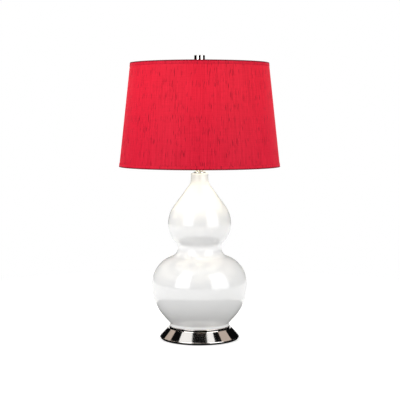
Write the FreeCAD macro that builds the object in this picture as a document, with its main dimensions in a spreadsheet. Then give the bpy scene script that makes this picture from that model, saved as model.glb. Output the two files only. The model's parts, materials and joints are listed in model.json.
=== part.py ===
"""Table lamp: a glazed double gourd on a polished skirt base, under a tapered drum shade.

The frame: origin at the centre of the felt's underside, +Z up, the harp in the XZ plane, the
front towards -Y and the lead's outlet towards +Y. Lengths are in millimetres.
"""

import FreeCAD, Part
import math
import os
from types import SimpleNamespace

import Sketcher

DRIVING_SIZES = (
    # overall
    ("base_radius", 110.7, "widest radius of the skirt base"),
    ("ceramic_height", 423.6, "height of the ceramic"),
    ("harp_height", 241.3, "foot of the harp to the top of its strap"),
    ("shade_height", 285.0, "height of the shade"),
    # felt and board
    ("felt_thickness", 1.5, "felt under the lamp"),
    ("felt_margin", 4.0, "felt's edge inside the skirt's rim"),
    ("board_thickness", 3.0, "board that closes the base"),
    # skirt base
    ("rim_height", 1.0, "skirt's lowest edge above the table"),
    ("rim_tuck", 3.7, "how far the lowest edge draws in under the widest point"),
    ("widest_height", 6.5, "height of the skirt's widest point"),
    ("ledge_height", 31.6, "height of the narrow flat at the top of the slope"),
    ("ledge_width", 4.0, "width of that flat"),
    ("collar_margin", 2.3, "collar's edge outside the ceramic foot"),
    ("collar_height", 6.2, "height of that collar"),
    ("skirt_wall", 2.0, "sheet of the skirt base"),
    ("skirt_rounding", 1.2, "rounding of the skirt's outer corners"),
    # weight and clamping hardware in the base
    ("weight_margin", 12.0, "cast weight's edge inside the collar"),
    ("weight_thickness", 13.0, "thickness of the weight"),
    ("washer_radius", 16.0, "large washer under the weight"),
    ("washer_thickness", 1.5, "thickness of that washer"),
    ("lock_washer_radius", 8.5, "lock washer"),
    ("lock_washer_thickness", 1.2, "thickness of the lock washer"),
    ("nut_flats", 14.3, "hexagon nut across flats"),
    ("nut_thickness", 4.0, "hexagon nut"),
    ("pipe_radius", 4.9, "threaded lamp pipe, outside"),
    ("pipe_bore_radius", 3.2, "lamp pipe, inside"),
    ("pipe_tail", 4.0, "pipe below the bottom nut"),
    ("pipe_clearance", 0.2, "around the pipe in the parts it clamps"),
    # lead outlet
    ("outlet_bore_radius", 3.6, "bore of the bush for the lead"),
    ("outlet_wall", 1.4, "wall of that bush"),
    ("outlet_flange", 2.4, "how far its flanges reach past its wall"),
    ("outlet_flange_thickness", 1.6, "each flange"),
    ("outlet_height", 15.0, "height of the outlet's centre on the skirt's slope"),
    # ceramic double gourd
    ("foot_gasket", 0.6, "soft ring between collar and ceramic"),
    ("foot_gasket_inset", 4.0, "ring's edge inside the ceramic foot"),
    ("foot_gasket_width", 12.0, "radial width of the ring"),
    ("foot_radius", 81.7, "upright foot band of the ceramic"),
    ("foot_band", 6.3, "height of the foot band"),
    ("lower_radius", 133.0, "widest radius of the lower gourd"),
    ("lower_rise", 113.6, "that widest point above the ceramic's foot"),
    ("lower_shoulder_arc", 82.5, "arc radius above it"),
    ("lower_side_arc", 131.0, "arc radius below it"),
    ("waist_arc", 24.7, "hollow arc between the gourds"),
    ("waist_rise", 214.9, "waist's narrowest point above the ceramic's foot"),
    ("upper_radius", 87.5, "widest radius of the upper gourd"),
    ("upper_rise", 281.8, "that widest point above the ceramic's foot"),
    ("upper_side_arc", 73.0, "arc radius below it"),
    ("upper_shoulder_arc", 87.0, "arc radius above it"),
    ("neck_arc", 32.0, "hollow arc that leads into the neck"),
    ("neck_radius", 23.8, "straight neck"),
    ("neck_length", 16.0, "length of the straight neck"),
    ("neck_rounding", 3.5, "rounding of the neck's top edge"),
    ("ceramic_wall", 6.0, "wall of the ceramic"),
    ("ceramic_end", 9.0, "thicker ceramic at its floor and at its top"),
    ("ceramic_hole_clearance", 1.6, "around the pipe in the ceramic"),
    # cap, stem and harp saddle
    ("neck_gasket", 0.8, "soft ring under the cap"),
    ("cap_radius", 16.3, "small cap on the neck"),
    ("cap_edge", 3.0, "upright edge of the cap"),
    ("cap_height", 9.0, "height of the flared cap"),
    ("cap_rounding", 1.2, "rounding of its rim"),
    ("stem_radius", 9.7, "tube between cap and saddle"),
    ("stem_length", 16.0, "length of that tube"),
    ("saddle_thickness", 1.6, "strip of the harp saddle"),
    ("saddle_margin", 0.9, "strip beside the pipe's hole"),
    ("saddle_rise", 10.0, "how far the saddle's arms turn up"),
    ("saddle_bend", 4.0, "outside bend of the arms"),
    ("peg_height", 8.0, "peg on each arm"),
    ("saddle_nut_thickness", 3.6, "nut between saddle and socket"),
    # socket
    ("bush_wall", 2.5, "wall of the socket cap's threaded neck"),
    ("bush_height", 6.0, "height of that threaded neck"),
    ("socket_sheet", 0.9, "sheet of socket cap and shell"),
    ("socket_cap_height", 18.0, "height of the whole socket cap"),
    ("shell_height", 47.0, "height of the socket shell"),
    ("liner_sheet", 0.7, "insulating sleeve in the shell"),
    ("socket_play", 0.15, "between parts nested in the socket"),
    ("core_height", 18.0, "switch block in the socket"),
    ("core_lip", 0.35, "switch block's edge outside the screw shell"),
    ("core_recess", 3.2, "depth of its flats for the terminals"),
    ("contact_height", 2.0, "centre contact"),
    ("screw_shell_sheet", 0.5, "sheet of the screw shell"),
    ("terminal_radius", 2.6, "terminal screw head"),
    ("set_screw_radius", 1.6, "set screw in the socket cap's neck"),
    # switch key
    ("key_height", 17.0, "key's axis above the foot of the socket cap"),
    ("key_shaft_radius", 2.0, "key shaft"),
    ("key_inset", 6.0, "inner end of the key shaft from the lamp's axis"),
    ("key_reach", 8.9, "key shaft outside the socket"),
    ("key_knob_radius", 6.5, "turn knob"),
    ("key_knob_length", 11.0, "length of the turn knob"),
    ("key_rib_count", 12, "ribs round the knob"),
    # bulb
    ("bulb_cap_radius", 13.0, "screw cap of the bulb"),
    ("bulb_cap_height", 24.0, "height of the screw cap"),
    ("bulb_tip_height", 1.6, "bulb's centre contact"),
    ("bulb_tip_radius", 4.8, "radius of both centre contacts"),
    ("bulb_insulator_height", 3.4, "dark ring round it"),
    ("bulb_length", 108.0, "contact to crown"),
    ("bulb_radius", 30.0, "globe"),
    ("bulb_neck_step", 1.2, "globe's neck outside its screw cap"),
    ("bulb_neck_length", 12.0, "straight start of the globe"),
    ("bulb_glass", 1.0, "glass"),
    # harp
    ("harp_wire_radius", 1.9, "wire of the harp"),
    ("harp_foot_spread", 38.0, "harp's feet from the lamp's axis"),
    ("harp_half_width", 63.0, "harp's legs from the lamp's axis at their widest"),
    ("harp_kick_start", 30.0, "height on the harp at which its legs start to spread"),
    ("harp_kick_end", 90.0, "height on the harp at which they are upright again"),
    ("harp_kick_arc", 60.0, "bend of both kicks"),
    ("harp_arch", 48.0, "bend at the top of the harp"),
    ("harp_strap_thickness", 2.4, "flat strap at the top of the harp"),
    ("harp_strap_length", 28.0, "length of the strap"),
    ("harp_strap_width", 11.0, "width of the strap"),
    ("sleeve_wall", 1.3, "wall of the sleeves that lock the harp's feet"),
    ("sleeve_height", 16.0, "height of the sleeves"),
    ("sleeve_play", 0.4, "between sleeve and wire"),
    # swivel stud and finial
    ("running_gap", 0.3, "between parts that move past each other"),
    ("stud_radius", 3.1, "threaded stud"),
    ("stud_shoulder_radius", 7.5, "shoulder that carries the shade"),
    ("stud_shoulder_height", 4.0, "height of the shoulder"),
    ("stud_head_radius", 5.0, "closed end under the strap"),
    ("stud_head_height", 1.5, "height of the closed end"),
    ("stud_reach", 10.0, "thread above the spider's hub"),
    ("finial_height", 31.2, "whole finial"),
    ("finial_radius", 14.6, "polished cylinder on top"),
    ("finial_cylinder", 22.0, "height of that cylinder"),
    ("finial_neck_radius", 7.5, "finial's foot"),
    ("finial_chamfer", 1.0, "edge of the finial"),
    ("insert_radius", 5.2, "threaded insert in the finial"),
    ("insert_height", 12.0, "height of the insert"),
    # shade
    ("shade_top_radius", 190.5, "upper edge, outside"),
    ("shade_bottom_radius", 221.8, "lower edge, outside"),
    ("fabric_thickness", 0.8, "cloth on the shade"),
    ("liner_thickness", 0.8, "stiff sheet behind the cloth"),
    ("trim_thickness", 0.6, "folded edging"),
    ("trim_outside", 10.0, "edging's height outside"),
    ("trim_inside", 7.0, "edging's height inside"),
    ("trim_rounding", 1.4, "rounding of the edging"),
    ("ring_wire_radius", 1.6, "wire rings of the shade"),
    ("ring_play", 0.15, "around those rings"),
    ("seam_angle", 3.4, "width of the seam at the back, in degrees"),
    ("seam_thickness", 0.5, "how far the seam stands proud"),
    ("spider_drop", 10.7, "hub's top below the shade's upper edge"),
    ("hub_radius", 15.0, "hub of the spider"),
    ("hub_thickness", 2.0, "thickness of the hub"),
    ("arm_bend_inset", 24.0, "where an arm starts to rise, in from the ring"),
    ("arm_bend", 14.0, "bend of the arm"),
    ("arm_count", 3, "arms of the spider"),
)

doc = FreeCAD.newDocument("DoubleGourdLamp")


# ---------------------------------------------------------------- sizes and their formulas

class Size:
    """A number together with the formula that works it out from the sheet of sizes."""

    def __init__(self, value, formula):
        self.value = value
        self.formula = formula

    def __add__(self, other):
        other = as_size(other)
        return Size(self.value + other.value, f"({self.formula} + {other.formula})")

    def __sub__(self, other):
        other = as_size(other)
        return Size(self.value - other.value, f"({self.formula} - {other.formula})")

    def __mul__(self, other):
        other = as_size(other)
        return Size(self.value * other.value, f"({self.formula} * {other.formula})")

    def __truediv__(self, other):
        other = as_size(other)
        return Size(self.value / other.value, f"({self.formula} / {other.formula})")

    def __neg__(self):
        return Size(-self.value, f"(0 - {self.formula})")

    def __radd__(self, other):
        return as_size(other) + self

    def __rsub__(self, other):
        return as_size(other) - self

    def __rmul__(self, other):
        return as_size(other) * self


def as_size(number):
    """Take a plain number as a size too."""
    if isinstance(number, Size):
        return number
    return Size(float(number), f"{float(number)}")


def sheet_of_sizes(rows):
    """Write the driving sizes into a sheet and give them back by name."""
    sheet = doc.addObject("Spreadsheet::Sheet", "Sizes")
    named = {}
    for number, (alias, value, meaning) in enumerate(rows, start=1):
        sheet.set(f"A{number}", meaning)
        sheet.set(f"B{number}", f"{value}")
        sheet.setAlias(f"B{number}", alias)
        named[alias] = Size(float(value), f"Sizes.{alias}")
    doc.recompute()
    return SimpleNamespace(**named)


dim = sheet_of_sizes(DRIVING_SIZES)
ZERO = as_size(0)
NEAR = 0.01

# Heights and radii that several parts share, each worked out from the sheet.
collar_top = dim.ledge_height + dim.collar_height
collar_radius = dim.foot_radius + dim.collar_margin
ledge_radius = collar_radius + dim.ledge_width
slope_run = dim.base_radius - ledge_radius
slope_rise = dim.ledge_height - dim.widest_height
outlet_radius = dim.base_radius - (dim.outlet_height - dim.widest_height) * slope_run / slope_rise
outlet_tilt = f"atan({slope_rise.formula} / {slope_run.formula})"
weight_top = collar_top - dim.skirt_wall
weight_bottom = weight_top - dim.weight_thickness
washer_bottom = weight_bottom - dim.washer_thickness
lock_washer_bottom = washer_bottom - dim.lock_washer_thickness
nut_bottom = lock_washer_bottom - dim.nut_thickness
pipe_hole = dim.pipe_radius + dim.pipe_clearance
ceramic_bottom = collar_top + dim.foot_gasket
foot_top = ceramic_bottom + dim.foot_band
lower_height = ceramic_bottom + dim.lower_rise
upper_height = ceramic_bottom + dim.upper_rise
neck_top = ceramic_bottom + dim.ceramic_height
neck_base = neck_top - dim.neck_length
waist_height = ceramic_bottom + dim.waist_rise
neck_joint = neck_base - dim.neck_arc / 2
ceramic_hole = dim.pipe_radius + dim.ceramic_hole_clearance
cap_bottom = neck_top + dim.neck_gasket
stem_bottom = cap_bottom + dim.cap_height
saddle_bottom = stem_bottom + dim.stem_length
saddle_top = saddle_bottom + dim.saddle_thickness
socket_bottom = saddle_top + dim.saddle_nut_thickness
bell_floor = socket_bottom + dim.bush_height
core_bottom = bell_floor + dim.socket_sheet
core_top = core_bottom + dim.core_height
screw_radius = dim.bulb_cap_radius + dim.running_gap + dim.screw_shell_sheet
core_radius = screw_radius + dim.core_lip
liner_radius = core_radius + dim.socket_play + dim.liner_sheet
shell_radius = liner_radius + dim.socket_play + dim.socket_sheet
socket_radius = shell_radius + dim.socket_play + dim.socket_sheet
bush_radius = pipe_hole + dim.bush_wall
shell_bottom = core_bottom + dim.socket_sheet * 2
shell_top = shell_bottom + dim.shell_height
key_axis = socket_bottom + dim.key_height
key_end = socket_radius + dim.key_reach
contact_top = core_top + dim.contact_height
bulb_bottom = contact_top + dim.running_gap
bulb_cap_bottom = bulb_bottom + dim.bulb_tip_height + dim.bulb_insulator_height
bulb_cap_top = bulb_cap_bottom + dim.bulb_cap_height
bulb_neck_radius = dim.bulb_cap_radius + dim.bulb_neck_step
peg_bottom = saddle_bottom + dim.saddle_rise
harp_bottom = peg_bottom + dim.peg_height + dim.running_gap
strap_top = harp_bottom + dim.harp_height
strap_bottom = strap_top - dim.harp_strap_thickness
hub_bottom = strap_top + dim.running_gap * 2 + dim.stud_shoulder_height
hub_top = hub_bottom + dim.hub_thickness
shade_top = hub_top + dim.spider_drop
stud_bore = dim.stud_radius + dim.running_gap
finial_bottom = hub_top + dim.running_gap
shade_bottom = shade_top - dim.shade_height
shade_taper = (dim.shade_bottom_radius - dim.shade_top_radius) / dim.shade_height


def shade_radius(height):
    """Outside radius of the shade's cloth at a height."""
    return dim.shade_top_radius + (shade_top - height) * shade_taper


# ---------------------------------------------------------------- bodies and sketches

def new_body(label, x=ZERO, y=ZERO, z=ZERO, turn=None):
    """A body with its own label, placed by formulas and turned if asked."""
    body = doc.addObject("PartDesign::Body", label)
    body.Label = label
    if turn is not None:
        body.Placement = FreeCAD.Placement(FreeCAD.Vector(0, 0, 0), turn)
    for letter, place in zip("xyz", (x, y, z)):
        body.setExpression(f"Placement.Base.{letter}", as_size(place).formula)
    return body


def about(axis, angle):
    """A turn about an axis, in degrees."""
    return FreeCAD.Rotation(FreeCAD.Vector(*axis), angle)


def origin_item(body, role):
    """One of the body's own origin planes or axes, such as XZ_Plane."""
    return next(item for item in body.Origin.OriginFeatures if item.Role == role)


def new_sketch(body, name, role="XZ_Plane", lift=None):
    """A sketch on one of the body's origin planes, lifted off it by a formula if asked."""
    sketch = body.newObject("Sketcher::SketchObject", name)
    sketch.AttachmentSupport = (origin_item(body, role), [""])
    sketch.MapMode = "FlatFace"
    if lift is not None:
        sketch.setExpression("AttachmentOffset.Base.z", as_size(lift).formula)
    return sketch


def bound(sketch, kind, *places, size):
    """A constraint whose value follows a size."""
    index = sketch.addConstraint(Sketcher.Constraint(kind, *places, size.value))
    sketch.setExpression(f"Constraints[{index}]", size.formula)


def pin(sketch, shape, end, x, y):
    """Hold one point of a sketched shape at x and y from the sketch's origin."""
    for kind, size, axis in (("DistanceX", as_size(x), -2), ("DistanceY", as_size(y), -1)):
        if size.value == 0:
            sketch.addConstraint(Sketcher.Constraint("PointOnObject", shape, end, axis))
        elif size.value > 0:
            bound(sketch, kind, -1, 1, shape, end, size=size)
        else:
            bound(sketch, kind, shape, end, -1, 1, size=-size)


def flat(x, y):
    """A point of a sketch."""
    return FreeCAD.Vector(x, y, 0)


def new_line(sketch, start, end):
    """A line in a sketch."""
    return sketch.addGeometry(Part.LineSegment(start, end), False)


def new_arc(sketch, centre, start, end, leftwards):
    """An arc in a sketch; gives its number and which of its ends the path enters and leaves."""
    radius = (start - centre).Length
    first = math.atan2(start.y - centre.y, start.x - centre.x)
    last = math.atan2(end.y - centre.y, end.x - centre.x)
    if not leftwards:
        first, last = last, first
    if last <= first:
        last += 2 * math.pi
    circle = Part.Circle(centre, FreeCAD.Vector(0, 0, 1), radius)
    number = sketch.addGeometry(Part.ArcOfCircle(circle, first, last), False)
    return (number, 1, 2) if leftwards else (number, 2, 1)


def smooth(sketch, before, after):
    """Join the end of one piece to the start of the next with a common tangent."""
    sketch.addConstraint(Sketcher.Constraint("Tangent", before[0], before[1], after[0], after[1]))


def meet(sketch, before, after):
    """Join the end of one piece to the start of the next at a corner."""
    sketch.addConstraint(Sketcher.Constraint("Coincident", before[0], before[1], after[0], after[1]))


def trace(sketch, corners, closed=True):
    """Draw straight runs through corners of (x, y) or (x, y, rounding)."""
    points = [flat(as_size(corner[0]).value, as_size(corner[1]).value) for corner in corners]
    count = len(corners)
    entries = list(points)
    exits = list(points)
    arcs = {}
    for i, corner in enumerate(corners):
        if len(corner) < 3:
            continue
        arriving = (points[i] - points[i - 1]).normalize()
        leaving = (points[(i + 1) % count] - points[i]).normalize()
        turn = arriving.getAngle(leaving)
        reach = corner[2].value * math.tan(turn / 2)
        entries[i] = points[i] - arriving * reach
        exits[i] = points[i] + leaving * reach
        leftwards = arriving.cross(leaving).z > 0
        side = flat(-arriving.y, arriving.x) if leftwards else flat(arriving.y, -arriving.x)
        centre = entries[i] + side * corner[2].value
        arcs[i] = new_arc(sketch, centre, entries[i], exits[i], leftwards)
        bound(sketch, "Radius", arcs[i][0], size=corner[2])

    runs = []
    for i in range(count if closed else count - 1):
        runs.append(new_line(sketch, exits[i], entries[(i + 1) % count]))

    for i, corner in enumerate(corners):
        has_before = closed or i > 0
        has_after = closed or i < count - 1
        if i in arcs:
            mark = sketch.addGeometry(Part.Point(points[i]), True)
            pin(sketch, mark, 1, corner[0], corner[1])
            sketch.addConstraint(Sketcher.Constraint("PointOnObject", mark, 1, runs[i - 1]))
            sketch.addConstraint(Sketcher.Constraint("PointOnObject", mark, 1, runs[i]))
            number, entry, leave = arcs[i]
            smooth(sketch, (runs[i - 1], 2), (number, entry))
            smooth(sketch, (number, leave), (runs[i], 1))
            continue
        if has_before and has_after:
            meet(sketch, (runs[i - 1], 2), (runs[i], 1))
        if has_after:
            pin(sketch, runs[i], 1, corner[0], corner[1])
        else:
            pin(sketch, runs[i - 1], 2, corner[0], corner[1])


def ring(sketch, radius, x=ZERO, y=ZERO):
    """A circle of a bound radius at x and y."""
    place = flat(as_size(x).value, as_size(y).value)
    number = sketch.addGeometry(Part.Circle(place, FreeCAD.Vector(0, 0, 1), radius.value), False)
    bound(sketch, "Radius", number, size=radius)
    pin(sketch, number, 3, x, y)


# ---------------------------------------------------------------- features

def revolve(body, sketch, name="Turned", angle=None):
    """Turn a sketch about its own upright axis."""
    feature = body.newObject("PartDesign::Revolution", name)
    feature.Profile = sketch
    feature.ReferenceAxis = (sketch, ["V_Axis"])
    feature.Angle = 360
    if angle is not None:
        feature.Midplane = True
        feature.setExpression("Angle", angle.formula)
    sketch.Visibility = False
    return feature


def groove(body, sketch, name="Hollow"):
    """Turn a sketch about its own upright axis and take it away."""
    feature = body.newObject("PartDesign::Groove", name)
    feature.Profile = sketch
    feature.ReferenceAxis = (sketch, ["V_Axis"])
    feature.Angle = 360
    return must_cut(body, feature)


def pad(body, sketch, length, name="Pad", both_ways=False, backwards=False):
    """Thicken a sketch."""
    feature = body.newObject("PartDesign::Pad", name)
    feature.Profile = sketch
    feature.setExpression("Length", length.formula)
    feature.Midplane = both_ways
    feature.Reversed = backwards
    return feature


def pocket(body, sketch, length=None, name="Cut", both_ways=False, backwards=False):
    """Cut a sketch through the body, or to a depth."""
    feature = body.newObject("PartDesign::Pocket", name)
    feature.Profile = sketch
    feature.Midplane = both_ways
    feature.Reversed = backwards
    if length is None:
        feature.Type = "ThroughAll"
    else:
        feature.setExpression("Length", length.formula)
    return must_cut(body, feature)


def must_cut(body, feature):
    """Make sure that a cut took something away."""
    doc.recompute()
    before = feature.BaseFeature.Shape.Volume
    if feature.Shape.isNull() or feature.Shape.Volume > before - 1e-3:
        raise ValueError(f"{body.Label}: {feature.Name} cuts nothing")
    return feature


def pipe(body, profile, path, name="Wire"):
    """Sweep a profile along the whole of a path."""
    feature = body.newObject("PartDesign::AdditivePipe", name)
    feature.Profile = profile
    feature.Spine = path
    return feature


def turned(label, corners, z=ZERO, x=ZERO, y=ZERO, turn=None):
    """A part turned from one outline of (radius, height) corners."""
    body = new_body(label, x, y, z, turn)
    sketch = new_sketch(body, "Section")
    trace(sketch, corners)
    revolve(body, sketch)
    return body


def washer(label, outer, inner, thickness, z):
    """A flat ring."""
    return turned(label, [(inner, 0), (outer, 0), (outer, thickness), (inner, thickness)], z)


def tube(label, outer, inner, height, z, edge=None):
    """An upright tube, its outer edges rounded if asked."""
    rounding = () if edge is None else (edge,)
    corners = [(inner, 0), (outer, 0, *rounding), (outer, height, *rounding), (inner, height)]
    return turned(label, corners, z)


def disc(label, radius, thickness, z):
    """A plain round plate."""
    return turned(label, [(0, 0), (radius, 0), (radius, thickness), (0, thickness)], z)


def hexagon_nut(label, across_flats, thickness, z):
    """A hexagon nut on the lamp pipe."""
    body = new_body(label, z=z)
    prism = body.newObject("PartDesign::AdditivePrism", "Hexagon")
    prism.Polygon = 6
    corner_radius = across_flats / math.sqrt(3)
    prism.setExpression("Circumradius", corner_radius.formula)
    prism.setExpression("Height", thickness.formula)
    sketch = new_sketch(body, "Thread", "XY_Plane")
    ring(sketch, pipe_hole)
    pocket(body, sketch, both_ways=True)
    return body


# ---------------------------------------------------------------- base

def felt_pad():
    radius = dim.base_radius - dim.rim_tuck - dim.felt_margin
    return disc("felt_pad", radius, dim.felt_thickness, ZERO)


def bottom_board():
    radius = dim.base_radius - dim.rim_tuck - dim.skirt_wall - dim.running_gap
    return disc("bottom_board", radius, dim.board_thickness, dim.felt_thickness)


def base_skirt():
    """Spun skirt: slope, narrow ledge and collar, closed on top, with the lead's hole behind."""
    body = new_body("base_skirt")
    sketch = new_sketch(body, "Section")
    wall = dim.skirt_wall
    rounding = dim.skirt_rounding
    rim = dim.base_radius - dim.rim_tuck
    trace(sketch, [
        (rim - wall, dim.rim_height),
        (rim, dim.rim_height, rounding / 2),
        (dim.base_radius, dim.widest_height, rounding * 2),
        (ledge_radius, dim.ledge_height, rounding),
        (collar_radius, dim.ledge_height),
        (collar_radius, collar_top, rounding),
        (pipe_hole, collar_top),
        (pipe_hole, weight_top),
        (collar_radius - wall, weight_top),
        (collar_radius - wall, dim.ledge_height - wall),
        (ledge_radius - wall, dim.ledge_height - wall),
        (dim.base_radius - wall, dim.widest_height),
    ])
    revolve(body, sketch)
    hole = new_sketch(body, "LeadHole", "XY_Plane")
    ring(hole, dim.outlet_bore_radius + dim.outlet_wall + dim.pipe_clearance)
    hole.AttachmentOffset = FreeCAD.Placement(FreeCAD.Vector(0, 0, 0), about((-1, 0, 0), 1))
    hole.setExpression("AttachmentOffset.Base.y", outlet_radius.formula)
    hole.setExpression("AttachmentOffset.Base.z", dim.outlet_height.formula)
    hole.setExpression("AttachmentOffset.Rotation.Angle", outlet_tilt)
    pocket(body, hole, length=dim.skirt_wall * 6, both_ways=True)
    return body


def lead_bush():
    """Flanged bush that lines the hole for the lead, square to the slope."""
    body = new_body("lead_bush", y=outlet_radius, z=dim.outlet_height, turn=about((-1, 0, 0), 1))
    body.setExpression("Placement.Rotation.Angle", outlet_tilt)
    bore = dim.outlet_bore_radius
    wall = bore + dim.outlet_wall
    flange = wall + dim.outlet_flange
    face = dim.running_gap
    back = -dim.skirt_wall - dim.running_gap * 2
    thick = dim.outlet_flange_thickness
    sketch = new_sketch(body, "Section")
    trace(sketch, [
        (bore, back - thick),
        (flange, back - thick),
        (flange, back),
        (wall, back),
        (wall, face),
        (flange, face),
        (flange, face + thick, thick / 2),
        (bore, face + thick),
    ])
    revolve(body, sketch)
    return body


def base_weight():
    outer = collar_radius - dim.skirt_wall - dim.weight_margin
    return tube("base_weight", outer, pipe_hole, dim.weight_thickness, weight_bottom,
                dim.washer_thickness)


def bottom_washer():
    return washer("bottom_washer", dim.washer_radius, pipe_hole, dim.washer_thickness, washer_bottom)


def bottom_lock_washer():
    return washer("bottom_lock_washer", dim.lock_washer_radius, pipe_hole,
                  dim.lock_washer_thickness, lock_washer_bottom)


def bottom_nut():
    return hexagon_nut("bottom_nut", dim.nut_flats, dim.nut_thickness, nut_bottom)


def foot_gasket():
    outer = dim.foot_radius - dim.foot_gasket_inset
    return washer("foot_gasket", outer, outer - dim.foot_gasket_width, dim.foot_gasket, collar_top)


def lamp_pipe():
    bottom = nut_bottom - dim.pipe_tail
    return tube("lamp_pipe", dim.pipe_radius, dim.pipe_bore_radius, bell_floor - bottom, bottom)


# ---------------------------------------------------------------- ceramic

def polar(centre, radius, angle):
    """The point at an angle on a circle of the sketch."""
    return centre + flat(radius * math.cos(angle), radius * math.sin(angle))


def heading(start, end):
    """The direction from one point of the sketch to another."""
    return math.atan2(end.y - start.y, end.x - start.x)


def circle_touching(first, first_radius, second, second_radius, radius):
    """Centre of the circle, right of both, that touches two circles from outside."""
    from_first = first_radius + radius
    from_second = second_radius + radius
    span = (second - first).Length
    along = (span ** 2 + from_first ** 2 - from_second ** 2) / (2 * span)
    across = math.sqrt(from_first ** 2 - along ** 2)
    forward = (second - first).normalize()
    sideways = flat(-forward.y, forward.x)
    return max((first + forward * along + sideways * side for side in (across, -across)),
               key=lambda point: point.x)


def gourd_outline(sketch, inset, bottom, top):
    """Half of the double gourd, drawn inside its outer face by an inset, down from the neck."""
    neck = dim.neck_radius - inset
    foot = dim.foot_radius - inset
    upper = dim.upper_radius - inset
    lower = dim.lower_radius - inset
    radii = {
        "neck": dim.neck_arc + inset,
        "upper_shoulder": dim.upper_shoulder_arc - inset,
        "upper_side": dim.upper_side_arc - inset,
        "waist": dim.waist_arc + inset,
        "lower_shoulder": dim.lower_shoulder_arc - inset,
        "lower_side": dim.lower_side_arc - inset,
    }
    reach = {name: size.value for name, size in radii.items()}
    centre = {
        "neck": flat(neck.value + reach["neck"], neck_base.value),
        "upper_shoulder": flat(upper.value - reach["upper_shoulder"], upper_height.value),
        "upper_side": flat(upper.value - reach["upper_side"], upper_height.value),
        "lower_shoulder": flat(lower.value - reach["lower_shoulder"], lower_height.value),
        "lower_side": flat(lower.value - reach["lower_side"], lower_height.value),
    }
    centre["waist"] = circle_touching(centre["upper_side"], reach["upper_side"],
                                      centre["lower_shoulder"], reach["lower_shoulder"],
                                      reach["waist"])

    # The straight run that crosses from the neck's hollow arc to the upper shoulder.
    span = (centre["upper_shoulder"] - centre["neck"]).Length
    opening = math.acos((reach["neck"] + reach["upper_shoulder"]) / span)
    crossing = heading(centre["neck"], centre["upper_shoulder"]) - opening
    neck_end = polar(centre["neck"], reach["neck"], crossing)
    shoulder_start = polar(centre["upper_shoulder"], reach["upper_shoulder"], crossing + math.pi)

    # The straight run from the lower side to the top of the foot band.
    foot_corner = flat(foot.value, foot_top.value)
    span = (foot_corner - centre["lower_side"]).Length
    falling = (heading(centre["lower_side"], foot_corner)
               + math.acos(reach["lower_side"] / span))
    side_end = polar(centre["lower_side"], reach["lower_side"], falling)

    waist_start = polar(centre["upper_side"], reach["upper_side"],
                        heading(centre["upper_side"], centre["waist"]))
    waist_end = polar(centre["lower_shoulder"], reach["lower_shoulder"],
                      heading(centre["lower_shoulder"], centre["waist"]))
    upper_point = flat(upper.value, upper_height.value)
    lower_point = flat(lower.value, lower_height.value)
    neck_start = flat(neck.value, neck_base.value)

    lid = new_line(sketch, flat(0, top.value), flat(neck.value, top.value))
    neck_side = new_line(sketch, flat(neck.value, top.value), neck_start)
    neck_arc = new_arc(sketch, centre["neck"], neck_start, neck_end, True)
    cone = new_line(sketch, neck_end, shoulder_start)
    rounds = {"neck": neck_arc}
    for name, start, end, leftwards in (
            ("upper_shoulder", shoulder_start, upper_point, False),
            ("upper_side", upper_point, waist_start, False),
            ("waist", waist_start, waist_end, True),
            ("lower_shoulder", waist_end, lower_point, False),
            ("lower_side", lower_point, side_end, False)):
        rounds[name] = new_arc(sketch, centre[name], start, end, leftwards)
    haunch = new_line(sketch, side_end, foot_corner)
    band = new_line(sketch, foot_corner, flat(foot.value, bottom.value))
    floor = new_line(sketch, flat(foot.value, bottom.value), flat(0, bottom.value))
    axis = new_line(sketch, flat(0, bottom.value), flat(0, top.value))

    for name, size in radii.items():
        bound(sketch, "Radius", rounds[name][0], size=size)
    meet(sketch, (lid, 2), (neck_side, 1))
    smooth(sketch, (neck_side, 2), neck_arc[:2])
    smooth(sketch, (neck_arc[0], neck_arc[2]), (cone, 1))
    smooth(sketch, (cone, 2), rounds["upper_shoulder"][:2])
    chain = ("upper_shoulder", "upper_side", "waist", "lower_shoulder", "lower_side")
    for before, after in zip(chain, chain[1:]):
        smooth(sketch, (rounds[before][0], rounds[before][2]), rounds[after][:2])
    smooth(sketch, (rounds["lower_side"][0], rounds["lower_side"][2]), (haunch, 1))
    meet(sketch, (haunch, 2), (band, 1))
    meet(sketch, (band, 2), (floor, 1))
    meet(sketch, (floor, 2), (axis, 1))
    meet(sketch, (axis, 2), (lid, 1))

    pin(sketch, lid, 1, ZERO, top)
    pin(sketch, neck_side, 1, neck, top)
    pin(sketch, neck_side, 2, neck, neck_base)
    for name, radius, height in (("upper_shoulder", upper, upper_height),
                                 ("lower_shoulder", lower, lower_height)):
        number, _, leave = rounds[name]
        pin(sketch, number, leave, radius, height)
        sketch.addConstraint(Sketcher.Constraint("Horizontal", number, 3, number, leave))
    pin(sketch, band, 1, foot, foot_top)
    pin(sketch, band, 2, foot, bottom)
    pin(sketch, axis, 1, ZERO, bottom)


def circle_edges(shape, radius, height):
    """Names of the round edges of a radius at a height."""
    names = []
    for number, edge in enumerate(shape.Edges, start=1):
        is_round = isinstance(edge.Curve, Part.Circle)
        if not is_round or abs(edge.Curve.Radius - radius) > NEAR:
            continue
        if abs(edge.Curve.Center.z - height) < NEAR:
            names.append(f"Edge{number}")
    return names


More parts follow.
